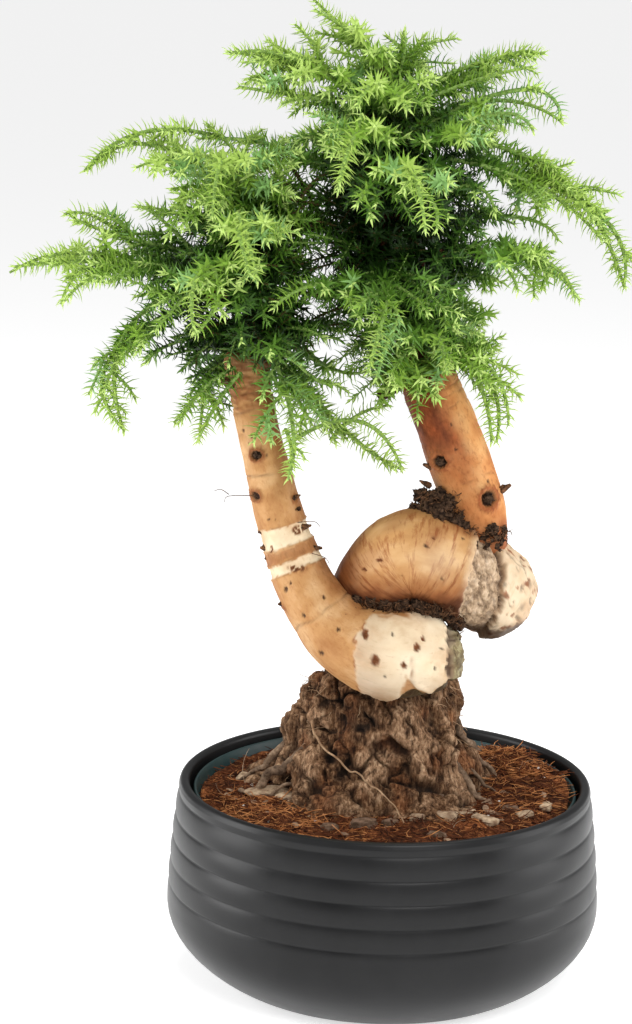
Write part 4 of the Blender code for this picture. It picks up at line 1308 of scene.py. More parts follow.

# The torn, flared top, and the red-brown side that follows the trunk on its right: partly its bark's colour,
# partly painted shade.
top = smooth_step(TORN_TOP, TORN_TOP + 10, axis_height + 5 * wide + 2 * middling)
ragged = chance_values(rings, 5.5, 7.0, 2.2)
height += top * (1.6 * ragged + 0.7 * chance_values(rings, 2.2, 7.5, 2.0))
ring_scars(RING_SCARS, 2.2, -0.35, 0.25, 0.65, 0.45)
right_side = smooth_step(0.25, 0.85, facing[..., 0] + 0.25 * wide)
lay(paint, RED, 0.8 * right_side * smooth_step(300, 350, z) * (1 - bare))
lay(paint, RED, 0.75 * top * smooth_step(-0.3, 0.3, ragged))
lay(paint, RED, 0.55 * between)
lay(paint, RED, 0.45 * right_side * (1 - bare))
# The inside of the lower bend is painted red-brown as well, partly bark colour and partly painted shade.
inner_bend = smooth_step(0.25, 0.85, facing[..., 0]) * hump(z - 262, 26) * (1 - bare)
lay(paint, RED, 0.7 * inner_bend)
paint[..., WOOD] = bare
mark_limb(rings, paint, height, LEFT_KNOTS + BURL_SCARS, 9.0)
lay(paint, RED, np.maximum(0.30 * wedge, 0.6 * seam))
lay(paint, RED, np.maximum(0.45 * peach_and_shade, 0.8 * torn_edge))
paint[..., WOOD] *= 1 - 0.95 * wedge
lay(paint, DARK, np.maximum(rift_alone * 0.9, under * 0.75))
lay(paint, DARK, 0.5 * moss * smooth_step(-0.1, 0.5, middling))
paint[..., OLD] = np.maximum(moss, under)
MOSSY_CRUST = ((0.030, 0.018, 0.008), (0.20, 0.155, 0.070), (0.50, 0.47, 0.26))
left_bark = bark_material(
    "left_trunk_bark", (0.36, 0.155, 0.052), (0.51, 0.265, 0.103), (0.66, 0.41, 0.205),
    (0.31, 0.098, 0.030), MOSSY_CRUST, (1, 1, 2.2), 0.32)
barked("left_trunk", rings, facing, height, paint, flat, left_bark)


# Short stubs of lost twigs and hairs stand off the left trunk.

STUBS = (
    # foot, direction, length, thickness at the foot, thickness at the tip
    ((-53, -20, 287), (0.9, -0.25, 0.30), 5.0, 1.8, 0.9),
    ((-46, -20, 274), (0.95, -0.2, 0.10), 4.6, 1.5, 0.9),
    ((-77.6, -16, 282), (-0.9, -0.3, 0.15), 3.0, 1.5, 0.8),
    ((-76, -16, 273), (-0.9, -0.35, -0.1), 3.2, 1.9, 1.0),
    ((-74, -16, 267), (-0.9, -0.3, -0.5), 2.6, 1.6, 0.8),
    ((-65.5, -24, 240), (-0.8, -0.5, 0.05), 2.4, 1.3, 0.6),
    ((-58, -18, 305), (0.8, -0.5, 0.4), 3.6, 1.4, 0.5),
    ((-99, -9, 372), (-0.95, -0.2, 0.1), 5.0, 3.4, 1.6),
    ((-28, -40, 238), (0.5, -0.7, 0.4), 2.6, 1.0, 0.4),
)
TRUNK_HAIRS = (
    ((-80, -17, 305), (-98, -20, 305), (-101, -20, 301)),
    ((-98, -20, 306), (-103, -20, 309), (-107, -21, 308)),
    ((-57, -22, 290), (-47, -27, 292), (-43, -28, 289)),
    ((-49, -24, 272), (-40, -27, 270), (-37, -28, 266)),
)


def stub_rings(foot, heading, length, thick, thin, chance, sides=12):
    """A short stub with a broken end."""
    foot, heading = Vector(foot), Vector(heading).normalized()
    shares = (-0.6, 0, 0.25, 0.5, 0.75, 0.92, 1.0)
    path = [foot + heading * length * s for s in shares]
    radii = [
        thick * 1.25, thick, thick * 0.82 + thin * 0.18, (thick + thin) / 2, thin * 1.05, thin * 0.9,
        thin * 0.45,
    ]
    rings = thin_tube(path, radii, sides)
    return bumpy(rings, chance_values(rings, 1.3, chance.uniform(0, 30)) * 0.55)


chance = random.Random(77)
stub_parts = [stub_rings(*row, chance) for row in STUBS]
for hair in TRUNK_HAIRS:
    stub_parts.append(thin_tube(smoothed(hair, 9), [0.34 - 0.02 * k for k in range(9)]))
stub_bark = fleck_material("stub_bark", (0.018, 0.009, 0.005), (0.22, 0.105, 0.050), 2)
piece_from("left_trunk_stubs", join_rings("left_trunk_stubs", stub_parts), stub_bark, ())


# ------------------------------------------------------------------ the upper burl
# A great swelling that lies over the foot of the left trunk. Its bark is stretched and finely
# streaked; at its right end the bark is torn round a patch of dead wood and a cream callus.

UPPER_BURL = (
    (61, 2.5, 244.5, 28.3), (52.5, -4, 250.5, 30), (33, -12, 264, 29), (9, -12, 269, 27.2),
    (-9, -1, 244, 26.5), (-13, 16, 212, 24), (-4, 24, 184, 22),
)
BURL_KNOTS = (
    ((-6, -10, 289), 2.2, 1.6, "scar"), ((-18, -20, 272), 1.6, 1.2, "dot"),
    ((-7, -34, 271), 2.0, 1.1, "scar"), ((-16, -29, 264), 1.8, 1.0, "scar"),
    ((20, -37, 281), 1.6, 1.2, "dot"), ((25, -33, 285), 1.8, 1.0, "scar"),
    ((42, -29, 284), 1.3, 1.0, "dot"), ((46, -30, 279), 1.3, 1.1, "dot"),
    ((30, -41, 262), 0.9, 0.9, "dot"), ((6, -40, 262), 1.0, 0.8, "dot"),
    ((10, 14, 280), 3.0, 2.4, "scar"), ((36, 16, 276), 3.4, 2.6, "scar"),
)
DEAD_WOOD_LEFT = 45.0      # the patch's edges, measured across the burl at its middle height
DEAD_WOOD_RIGHT = 68.0
DEAD_WOOD_MIDDLE = 256.0

rings, facing, runs, flat = limb_rings(UPPER_BURL, 0.95, 176, round_foot=True)
x, y, z = rings[..., 0], rings[..., 1], rings[..., 2]
wide = chance_values(rings, 19, 11.0)
middling = chance_values(flat, 6.5, 12.0, 0.5)
edge = 3.0 * chance_values(rings, 8, 14.0) + 1.4 * chance_values(rings, 2.6, 15.0)
paint = np.zeros(rings.shape[:2] + (4,))
height = 1.1 * wide + 0.35 * middling + 0.10 * chance_values(flat, 2.0, 13.0, 0.3)
front = fade(-4, 8, y + edge)
bent = wandered(rings, 6, (81.0, 82.0, 83.0), 3.0)
from_left = x + edge * 0.7 - DEAD_WOOD_LEFT - 0.208 * (z - DEAD_WOOD_MIDDLE)
from_right = x + edge * 0.8 - DEAD_WOOD_RIGHT + 10 * ((z - DEAD_WOOD_MIDDLE) / 34) ** 2
patch = smooth_step(-1, 1.2, from_left) * fade(-1, 1, from_right) * front
callus = smooth_step(-0.5, 1.5, from_right)
torn_strip = hump(from_left + 1.0, 2.4) * front
jagged = hump(from_right + 0.4, 1.1) * front * smooth_step(-0.5, 0.1, chance_values(rings, 9, 84.0))
dead_cracks = fade(0.0, 0.13, crack_values(bent, 6.0, 16.0, 0.42))
dead_rough = chance_values(bent, 2.6, 17.0, 0.5)
flaky = chance_values(rings, 9, 85.0)
callus_cracks = fade(0.0, 0.09, crack_values(bent, 12.0, 86.0, 0.8))
callus_cracks *= smooth_step(-0.2, 0.2, chance_values(rings, 8, 88.0))
marks = smooth_step(0.36, 0.46, chance_values(bent, 5.0, 87.0))
dead_relief = -2.6 + 1.3 * dead_rough + 1.2 * flaky - 1.0 * dead_cracks
height += patch * dead_relief + 1.4 * torn_strip - 2.2 * jagged
height += callus * (0.4 + 1.4 * chance_values(rings, 12, 18.0) + 0.5 * dead_rough - 1.1 * callus_cracks)
low_line = z + edge * 1.1 - 0.06 * np.abs(x - 10)
# Painted shade: the lower side of the burl is painted darker red-brown, most on its front.
lower_side_shade = fade(243, 271, low_line) * (1 - callus) * (1 - patch) * (0.45 + 0.55 * front)
# Painted shade: lowest paints the burl's underside dark, where it meets the cream wood.
lowest = fade(240, 255, low_line) * (1 - callus) * (1 - patch) * (0.12 + 0.88 * front)
# Painted shade: the left end, where the burl meets the left trunk, is painted darker red-brown.
left_end_shade = fade(-28, -5, x + edge * 0.8 + 0.25 * (z - 262))
# Painted highlight: glow is a pale spot on the burl's front, laid as bare wood and kept free of red.
glow = np.exp(-((x - 27) / 13) ** 2 - ((z - 272) / 10) ** 2)
# Painted shade: rim paints the underside of the burl's right end dark.
rim = front * fade(224, 230, z + edge) * smooth_step(40, 46, x)
fork = np.exp(-((x - 45) / 15) ** 2 - ((z - 290 + 0.35 * (x - 45)) / 5) ** 2) * (1 - patch)
for channel, shares in (
    (WOOD, (callus, 0.40 * glow, 0.55 * torn_strip)),
    (DARK, (0.5 * patch * dead_cracks, 0.85 * jagged, 0.6 * callus * callus_cracks,
            0.85 * rim, 0.80 * lowest, 0.06 * left_end_shade)),
    (RED, (0.95 * lower_side_shade, 0.85 * left_end_shade * (1 - callus), 0.8 * fork, callus * (0.16 + 0.7 * marks),
           0.35 * smooth_step(0.0, 0.5, wide) * (1 - callus) * (1 - glow))),
    (OLD, (patch,)),
):
    for share in shares:
        lay(paint, channel, share)
mark_limb(rings, paint, height, BURL_KNOTS, 21.0)
GREY_CRUST = ((0.13, 0.080, 0.046), (0.47, 0.335, 0.215), (0.74, 0.580, 0.42))
burl_bark = bark_material(
    "upper_burl_bark", (0.40, 0.175, 0.060), (0.56, 0.300, 0.115), (0.70, 0.445, 0.220),
    (0.30, 0.082, 0.022), GREY_CRUST, (8, 8, 1), 0.85)
barked("upper_burl", rings, facing, height, paint, flat, burl_bark)


# ------------------------------------------------------------------ the right trunk
# The second trunk grows out of the burl's top. Its bark is orange-tan, painted a darker red-brown
# up its left side, with two large black knots, and a shaggy clump of old fibre at its foot.

RIGHT_TRUNK = (
    (57, -6, 268, 14), (54, -6, 284, 16.5), (49, -3, 302, 18), (40, 2, 325, 19),
    (32, 4, 346, 18.3), (24, 6, 364, 17.6), (20, 6, 376, 17),
)
RIGHT_KNOTS = (
    ((28, -13, 327), 4.0, 4.2, "knot"), ((57, -18, 306), 4.6, 5.0, "knot"), ((37, -16, 335), 1.0, 1.0, "dot"),
    ((53, -17, 331), 1.2, 1.1, "dot"), ((59, -12, 322), 1.1, 1.1, "dot"), ((57, -15, 316), 0.9, 1.0, "dot"),
    ((34, 22, 330), 3.4, 3.2, "knot"), ((50, 14, 300), 3.0, 3.0, "knot"), ((20, 20, 352), 2.4, 2.2, "knot"),
    ((46, -18, 296), 1.0, 1.2, "dot"), ((34, -14, 350), 0.9, 0.9, "dot"),
)
rings, facing, runs, flat = limb_rings(RIGHT_TRUNK, 0.95, 128, round_foot=True, round_tip=True)
x, y, z = rings[..., 0], rings[..., 1], rings[..., 2]
wide = chance_values(flat, 16, 31.0, 0.6)
middling = chance_values(flat, 6, 32.0, 0.5)
height = 0.8 * wide + 0.35 * middling + 0.10 * chance_values(flat, 2.0, 33.0, 0.4)
paint = np.zeros(rings.shape[:2] + (4,))
# The left side is painted a darker red-brown.
left_band = fade(-0.15, 0.80, facing[..., 0] + 0.30 * wide + 0.12 * middling)
left_band *= 0.40 + 0.60 * smooth_step(306, 346, z + 6 * wide)
low_end = fade(284, 296, z + 3 * wide)
axis_height = rings.mean(axis=1, keepdims=True)[..., 2]
top = smooth_step(362, 374, axis_height + 4 * wide)
ring_scars((312, 341, 356, 363, 369, 374), 2.4, -0.2, 0.35, 0.5, 0.35)
lay(paint, RED, left_band)
lay(paint, RED, np.maximum(0.8 * low_end, 0.7 * top * smooth_step(-0.3, 0.3, middling)))
lay(paint, RED, 0.5 * smooth_step(0.0, 0.5, wide))
lay(paint, DARK, 0.45 * left_band ** 2 * smooth_step(-0.3, 0.5, middling))
mark_limb(rings, paint, height, RIGHT_KNOTS, 34.0)
right_bark = bark_material(
    "right_trunk_bark", (0.48, 0.170, 0.047), (0.66, 0.300, 0.103), (0.76, 0.45, 0.195),
    (0.32, 0.074, 0.020), MOSSY_CRUST, (1, 1, 1.8), 0.4)
barked("right_trunk", rings, facing, height, paint, flat, right_bark)

# The shaggy clump in the fork between the burl and the right trunk, with two stubs beside it.
CLUMP_LUMPS = (
    # place, radius
    ((21, -14, 300), 5.2), ((29, -17, 297), 6.6), ((38, -18, 292), 5.6), ((17, -9, 305), 4.2),
    ((27, -12, 305), 5.2), ((44, -19, 287), 4.6), ((13, -11, 298), 3.0), ((34, -16, 302), 4.6),
    # These lumps along the burl's foot are near black: partly old fibre, partly a dark filling that stands in
    # for the shade in the gap under the burl.
    ((-20, -26, 244), 3.2), ((-12, -28, 243), 3.8), ((-3, -28.5, 242), 4.4), ((7, -28, 241.5), 4.6),
    ((17, -28, 241), 4.8), ((27, -28, 239.5), 4.6), ((36, -26, 236), 4.4), ((41, -24, 230), 4.2),
    ((2, -20, 239), 5.0), ((22, -18, 237), 5.4), ((60, -22, 288), 3.4), ((66, -14, 286), 3.0),
)
RIGHT_STUBS = (
    ((66, -8, 310), (0.85, -0.2, 0.5), 6.0, 2.4, 1.2), ((23, -4, 322), (-0.9, -0.2, 0.3), 5.5, 2.0, 1.0),
    ((20, -8, 312), (-0.8, -0.3, 0.5), 5.0, 1.7, 0.7), ((66, -14, 284), (0.8, -0.4, 0.3), 4.0, 1.8, 0.8),
)
KNOT_CORES = (
    # place, radius: the crumbling wood in the larger knots
    ((28, -12.6, 327), 2.5), ((57, -17.6, 306), 3.0), ((-81.6, -18.2, 330), 2.0), ((-81, -16.6, 305), 1.8),
    ((-59.5, -18.8, 304), 1.3), ((-56, -20, 298), 1.2),
)
DEBRIS_AREA = ((58, -24, 281), (9, 5, 4))     # crumbs on the burl's shoulder: middle, half sizes
TANGLES = (
    # middle and half sizes of a tangle of dead fibres, and how many there are
    ((29, -17, 299), (15, 6, 11), 150), ((58, -22, 284), (12, 6, 5), 60), ((10, -31, 241.5), (30, 4, 3), 150),
    ((38, -28, 228), (5, 6, 12), 40), ((-22, -22, 244), (8, 6, 4), 24),
)


def within(area, chance):
    """A random place in a box, from its middle and its half sizes."""
    return Vector([m + h * chance.uniform(-1, 1) for m, h in zip(*area)])


def shaggy_lump(place, radius, work, chance):
    """A ball of matted fibre or crumbling wood."""
    made = bmesh.ops.create_icosphere(work, subdivisions=4, radius=1.0)["verts"]
    seed = chance.uniform(0, 60)
    for vertex in made:
        unit = vertex.co.copy()
        deep = noise.fractal(unit * 2.6 + Vector((seed, 0, 0)), 0.6, 2.1, 5)
        vertex.co = (Vector(place) + unit * radius * (1 + 0.60 * deep)) * MM


chance = random.Random(88)
work = bmesh.new()
for place, radius in CLUMP_LUMPS + KNOT_CORES:
    shaggy_lump(place, radius, work, chance)
for _ in range(34):
    spot = within(DEBRIS_AREA, chance)
    made = bmesh.ops.create_icosphere(work, subdivisions=2, radius=1.0)["verts"]
    size = chance.uniform(0.8, 2.0)
    for vertex in made:
        vertex.co = (spot + vertex.co * size * chance.uniform(0.75, 1.15)) * MM
clump_finish = fleck_material("old_fibre", (0.010, 0.005, 0.003), (0.11, 0.062, 0.036), 2.5)
piece_from("fibre_clump", mesh_from(work, "fibre_clump", smooth=True), clump_finish, ())

stub_parts = [stub_rings(*row, chance) for row in RIGHT_STUBS]
for middle, half, count in TANGLES:
    for _ in range(count):
        start = within((middle, half), chance)
        heading = Vector((chance.uniform(-1, 1), chance.uniform(-0.8, 0.1), chance.uniform(-0.7, 0.7)))
        path = wandering_line(start, heading.normalized(), 5, 0.6, 1.6, chance)
        stub_parts.append(thin_tube(path, [0.42 - 0.06 * k for k in range(6)]))
piece_from("right_trunk_stubs", join_rings("right_trunk_stubs", stub_parts), stub_bark, ())


# ------------------------------------------------------------------ leaders, boughs and stub
# From each trunk's torn top one thin leader goes up through the crown, and four short boughs
# leave the leaders. Their twig bark is brown and flaking, with the scars of old needles.

LEFT_LEADER = (
    (-87.5, 0, 386.2, 5.4), (-86, 2, 420, 4.8), (-88, 2, 450, 4.0), (-91, 0, 472, 3.4), (-92, 0, 490, 2.4),
)
RIGHT_LEADER = (
    (17.6, 7, 377.4, 7.2), (7.5, 10, 400, 6.1), (-2, 10, 427, 5.4), (-8.5, 8, 454, 4.8),
    (-10, 6, 487, 4.1), (-10, 4, 522, 3.1), (-11, 2, 560, 2.0),
)
DEAD_STUB = ((2.1, 5, 370, 3.6), (-3, 0, 368.5, 4.2), (-8.5, -4, 364, 3.0))
GAP = 0.3
BOUGH_ARCH = 6.0


def place_on(stations, share):
    """(centre, radius, direction) at a share of a limb's height, in millimetres."""
    line = curve_through(stations, 6)
    at = min(int(share * (len(line) - 1)), len(line) - 2)
    along = Vector(line[at + 1, :3] - line[at, :3]).normalized()
    t = share * (len(line) - 1) - at
    row = line[at] * (1 - t) + line[at + 1] * t
    return Vector(row[:3]), row[3], along


def bough_from(leader, share, tip, thick, thin):
    """Stations of a short bough that leaves a leader and ends inside its mass of foliage."""
    centre, radius, along = place_on(leader, share)
    end = Vector(tip)
    middle = (centre + end) / 2 + Vector((0, 0, BOUGH_ARCH))
    out = end - centre
    out = (out - along * out.dot(along)).normalized()
    lean = abs((middle - centre).normalized().dot(along))
    foot = centre + out * (radius + GAP + thick * lean * 1.15)
    middle = (foot + end) / 2 + Vector((0, 0, BOUGH_ARCH))
    return tuple((*p, r) for p, r in ((foot, thick), (middle, (thick + thin) / 2), (end, thin)))


LIMBS = {
    "left_leader": LEFT_LEADER,
    "right_leader": RIGHT_LEADER,
    "bough_left_far": bough_from(LEFT_LEADER, 0.30, (-116, -4, 437), 3.0, 2.2),
    "bough_left_low": bough_from(LEFT_LEADER, 0.22, (-112, -16, 424), 2.8, 2.1),
    "bough_right_far": bough_from(RIGHT_LEADER, 0.58, (22, -2, 508), 3.2, 2.3),
    "bough_right_low": bough_from(RIGHT_LEADER, 0.34, (26, -8, 452), 3.2, 2.3),
    "dead_stub": DEAD_STUB,
}
twig_bark, shader = plain_material("twig_bark", (0.15, 0.06, 0.025), 0.8)
flakes = speckle(straight_place(shader), 2.2, detail=5, roughness=0.7, stretch=(1, 1, 0.6))
feed(shader, "Base Color", ramp(
    flakes, (0.34, (0.022, 0.009, 0.005)), (0.52, (0.12, 0.042, 0.018)), (0.70, (0.30, 0.13, 0.055))))
relief_on(shader, flakes, 0.8, 0.9)
for number, (name, stations) in enumerate(LIMBS.items()):
    if name in ("left_leader", "right_leader"):
        # A leader grows out of its trunk's top, so its skin starts a little way down inside it.
        first, second = Vector(stations[0][:3]), Vector(stations[1][:3])
        root = first - (second - first).normalized() * 7
        stations = ((*root, stations[0][3] * 1.35), *stations)
    rings, facing, runs, flat = limb_rings(stations, 0.8, 40, round_tip=True)
    scales = np.abs(np.sin(runs / 2.6))[:, None] * 0.25
    height = 0.22 * chance_values(rings, 3.4, number) + 0.12 * chance_values(rings, 1.3, number + 9)
    height = height + scales * 0.6
    if name == "dead_stub":
        height += 0.7 * chance_values(rings, 2.6, 3.0)
    barked(name, rings, facing, height, np.zeros(rings.shape[:2] + (4,)), flat,
           clump_finish if name == "dead_stub" else twig_bark)


# ------------------------------------------------------------------ the crown
# The crown is 45 masses of foliage. Each grows from one shoot that leaves a leader, a bough's
# tip or a trunk's top, forks, and bears side shoots and twigs, all set round with stiff needles.

MASSES = (
    # name, limb, share of its height, what the shoot passes, its tip, forks (share, tip)
    ("left_far", "bough_left_far", 1.0, (-170, -8, 443), (-232, -5, 438), ((0.42, (-199, -30, 420)),)),
    ("left_high", "left_leader", 0.44, (-161, 2, 456), (-200, 6, 470), ((0.62, (-181, 22, 471)),)),
    ("left_high_back", "left_leader", 0.62, (-133, 34, 467), (-159, 44, 470), ()),
    ("left_arch", "left_leader", 0.86, (-147, 4, 511), (-188, 0, 495), ((0.30, (-138, -16, 495)),)),
    ("left_plume", "left_leader", 0.84, (-103, -44, 508), (-109, -66, 474), ((0.25, (-130, -48, 467)),)),
    ("left_front_high", "left_leader", 0.58, (-94, -56, 472), (-85, -80, 443), ()),
    ("left_front_low", "left_leader", 0.40, (-115, -56, 445), (-118, -76, 409), ((0.25, (-144, -56, 407)),)),
    ("left_droop", "bough_left_low", 1.0, (-170, -18, 386), (-160, -22, 340), ((0.12, (-160, -10, 423)),)),
    ("left_low_back", "left_leader", 0.16, (-128, 10, 394), (-155, 18, 379), ()),
    ("left_under", "left_leader", 0.12, (-112, 20, 368), (-136, 24, 337), ((0.6, (-118, 12, 327)),)),
    ("left_inner_plume", "left_leader", 0.17, (-62, -38, 360), (-63, -42, 316), ((0.4, (-38, -34, 348)),)),
    ("left_inner_reach", "left_leader", 0.11, (-31, 0, 344), (9, -6, 318), ()),
    ("left_inner_back", "left_leader", 0.22, (-44, 28, 378), (-12, 38, 372), ((0.3, (-26, 30, 402)),)),
    ("left_inner_front", "left_leader", 0.26, (-56, -22, 384), (-30, -24, 374),
     ((0.3, (-38, -30, 402)), (0.4, (-28, -8, 398)))),
    ("left_inner_high", "left_leader", 0.60, (-62, 12, 470), (-34, 20, 462),
     ((0.3, (-48, 34, 486)), (0.2, (-48, 6, 446)))),
    ("left_crest", "left_leader", 1.0, (-92, 2, 508), (-80, 6, 525), ()),
    ("left_rear_high", "left_leader", 0.76, (-102, 46, 494), (-108, 84, 486), ((0.3, (-72, 66, 500)),)),
    ("left_rear_left", "left_leader", 0.36, (-132, 48, 438), (-168, 82, 424), ((0.35, (-166, 46, 432)),)),
    ("left_rear_middle", "left_leader", 0.46, (-90, 64, 446), (-84, 108, 424), ((0.35, (-56, 88, 430)),)),
    ("left_rear_low", "left_leader", 0.13, (-102, 48, 378), (-108, 80, 352), ((0.3, (-66, 66, 366)),)),
    ("right_top", "right_leader", 1.0, (-30, -6, 579), (-56, -10, 595), ()),
    ("right_crest", "right_leader", 0.90, (-1, -4, 561), (1, -4, 583), ((0.3, (14, 8, 565)),)),
    ("right_upper_left", "right_leader", 0.88, (-62, -14, 564), (-105, -16, 567),
     ((0.40, (-63, -6, 584)), (0.46, (-97, 4, 547)), (0.30, (-98, 20, 560)))),
    ("right_upper_front", "right_leader", 0.86, (-16, -46, 554), (-30, -70, 540), ((0.4, (4, -64, 540)),)),
    ("right_left_reach", "right_leader", 0.66, (-67, 16, 509), (-125, 22, 514), ()),
    ("right_left_low", "right_leader", 0.76, (-42, -2, 536), (-69, 0, 530), ((0.3, (-54, 18, 512)),)),
    ("right_upper_right", "right_leader", 0.84, (49, 0, 563), (85, 0, 570), ((0.4, (62, -12, 556)),)),
    ("right_middle_right", "right_leader", 0.80, (65, -14, 549), (96, -18, 531), ()),
    ("right_fan", "right_leader", 0.72, (47, -40, 536), (78, -52, 528), ((0.35, (38, -64, 525)),)),
    ("right_far", "bough_right_far", 1.0, (111, -8, 482), (135, -14, 431), ((0.30, (89, 14, 474)),)),
    ("right_far_back", "right_leader", 0.56, (67, 30, 470), (101, 36, 453), ()),
    ("right_low", "bough_right_low", 1.0, (79, -22, 453), (107, -28, 427), ((0.34, (71, -42, 432)),)),
    ("right_low_back", "right_leader", 0.38, (45, 34, 432), (62, 50, 420), ((0.3, (62, 22, 458)),)),
    ("right_hang", "right_leader", 0.10, (54, -10, 379), (62, -16, 336), ((0.3, (62, 4, 391)),)),
    ("right_front_foot", "right_leader", 0.18, (22, -34, 408), (30, -54, 386), ((0.3, (-10, -36, 398)),)),
    ("right_front_long", "right_leader", 0.42, (-7, -56, 431), (-19, -78, 388), ((0.25, (30, -58, 423)),)),
    ("right_front_left", "right_leader", 0.36, (-47, -40, 437), (-76, -58, 423), ((0.42, (-27, -62, 424)),)),
    ("right_front_curve", "right_leader", 0.78, (-26, -62, 528), (-38, -80, 494), ()),
    ("right_front_plume", "right_leader", 0.68, (3, -70, 509), (14, -86, 471), ((0.25, (-28, -66, 485)),)),
    ("right_inner_right", "right_leader", 0.54, (36, -26, 494), (57, -44, 478), ((0.3, (48, 2, 500)),)),
    ("right_rear_top", "right_leader", 0.90, (-14, 40, 562), (-18, 76, 552), ((0.4, (24, 60, 550)),)),
    ("right_rear_left", "right_leader", 0.62, (-42, 58, 512), (-68, 100, 498), ((0.35, (-30, 96, 506)),)),
    ("right_rear_middle", "right_leader", 0.46, (0, 70, 482), (2, 124, 458), ((0.35, (-34, 106, 452)),)),
    ("right_rear_right", "right_leader", 0.72, (32, 50, 530), (68, 88, 514), ((0.35, (84, 52, 498)),)),
    ("right_rear_low", "right_leader", 0.22, (34, 48, 414), (52, 82, 394), ((0.3, (6, 80, 402)),)),
)
TIP_NEEDLES = 4.1          # how far a mass's last needles reach past its shoot
FORK_LIFT = 9.0
SIDE_REACH = 54.0
LIMB_MARGIN = 1.2          # how far a shoot in the heart stays from a limb
SIDE_LEAN = math.radians(54)
SIDE_SPACING = 9.5         # along a spine, between side shoots
SIMPLE_FROM = 0.50         # past this share of a spine side shoots are few and short
TWIG_REACH = 23.0
SPACE_MARGIN = 5.0         # how far a twig may lean over into the next mass's space
SHOOT_STEP = 2.4
GOLDEN_TURN = 2.399963     # radians from one shoot or needle of a spiral to the next
UP = Vector((0, 0, 1))
HEART = (
    # leaders and boughs, with the short shoots that fill the crown's heart round them
    (LEFT_LEADER, 78), (RIGHT_LEADER, 110), (LIMBS["bough_right_low"], 22), (LIMBS["bough_right_far"], 12),
    (LIMBS["bough_left_low"], 10), (LIMBS["bough_left_far"], 10),
)
BRIDGE = (
    # leader, heading in radians, lowest and highest share of the leader, shortest and longest, count
    (RIGHT_LEADER, math.pi, 0.25, 0.72, 42, 64, 18), (LEFT_LEADER, 0.0, 0.25, 0.95, 30, 46, 12),
)

OUTER_SHOOTS = (
    # the long shoots that stand clear of the rest: start, bend, end, whether it branches
    ((-18, 0, 569), (-38, 0, 584), (-54, 0, 599), False),
    ((-33, -10, 556), (-72, -10, 564), (-103, -10, 568), True),
    ((-40, -14, 541), (-69, -14, 544), (-96, -14, 548), True),
    ((-48, 10, 564), (-54, 10, 575), (-64, 10, 583), False),
    ((-3, 0, 560), (-1, 0, 573), (0, 0, 581), False),
    ((22, 0, 554), (54, 0, 570), (83, 0, 570), True),
    ((16, -15, 544), (50, -15, 559), (75, -15, 563), False),
    ((38, 5, 539), (72, 5, 547), (95, 5, 529), False),
    ((35, -10, 519), (108, -10, 515), (134, -10, 434), True),
    ((46, -20, 506), (93, -20, 495), (119, -20, 463), True),
    ((48, -10, 453), (86, -10, 457), (108, -10, 426), True),
    ((42, -15, 394), (67, -15, 383), (68, -15, 351), False),
    ((39, -18, 395), (56, -18, 372), (58, -18, 340), False),
    ((-61, -25, 340), (-14, -25, 374), (5, -25, 324), False),
    ((-65, -32, 349), (-58, -32, 336), (-63, -32, 322), False),
    ((-69, -12, 372), (-42, -12, 380), (-28, -12, 368), False),
    ((-38, -10, 338), (-24, -10, 358), (-4, -10, 360), False),
    ((-156, 0, 438), (-195, 0, 457), (-231, 0, 434), True),
    ((-161, -15, 444), (-193, -15, 446), (-199, -15, 418), False),
    ((-140, -20, 423), (-180, -20, 398), (-161, -20, 343), True),
    ((-95, -20, 383), (-116, -20, 374), (-129, -20, 348), False),
    ((-92, -25, 381), (-107, -25, 364), (-117, -25, 339), False),
    ((-107, 0, 517), (-160, 0, 531), (-187, 0, 495), True),
    ((-157, 5, 450), (-181, 5, 475), (-199, 5, 469), False),
    ((-122, -10, 451), (-147, -10, 478), (-155, -10, 476), False),
    ((-108, -52, 447), (-99, -52, 428), (-118, -52, 407), False),
    ((-94, -60, 480), (-87, -60, 465), (-82, -60, 440), False),
    ((0, -66, 423), (-8, -66, 406), (-13, -66, 384), False),
    ((-24, -60, 538), (-31, -60, 517), (-37, -60, 493), False),
    ((-1, -58, 496), (24, -58, 495), (20, -58, 471), False),
    ((-59, -10, 482), (-53, -10, 494), (-42, -10, 499), False),
    ((-74, 5, 510), (-59, 5, 497), (-48, 5, 471), False),
)


def run_along(points):
    """How far along a line each of its points is."""
    run = [0.0]
    for a, b in zip(points, points[1:]):
        run.append(run[-1] + (b - a).length)
    return run


def arc_points(start, bend, end, step):
    """Points on a bent line, evenly about one step apart."""
    shares = [k / 60 for k in range(61)]
    fine = [start * (1 - t) ** 2 + bend * (2 * t * (1 - t)) + end * t ** 2 for t in shares]
    run = run_along(fine)
    count = max(3, round(run[-1] / step))
    rows = np.array(fine)
    even = np.linspace(0, run[-1], count + 1)
    return [Vector([float(np.interp(s, run, rows[:, n])) for n in range(3)]) for s in even]


def spine_of(limb, share, passing, tip):
    """Start, bend and end of a mass's main shoot, standing clear of its limb."""
    centre, radius, along = place_on(limb, share)
    end, middle = Vector(tip), Vector(passing)
    heading = (middle * 2 - (centre + end) / 2 - centre).normalized()
    end -= (end - middle).normalized() * TIP_NEEDLES
    start = centre
    if share < 1:
        out = (heading - along * heading.dot(along)).normalized()
        start = centre + out * (radius - 0.5)
    return start, middle * 2 - (start + end) / 2, end


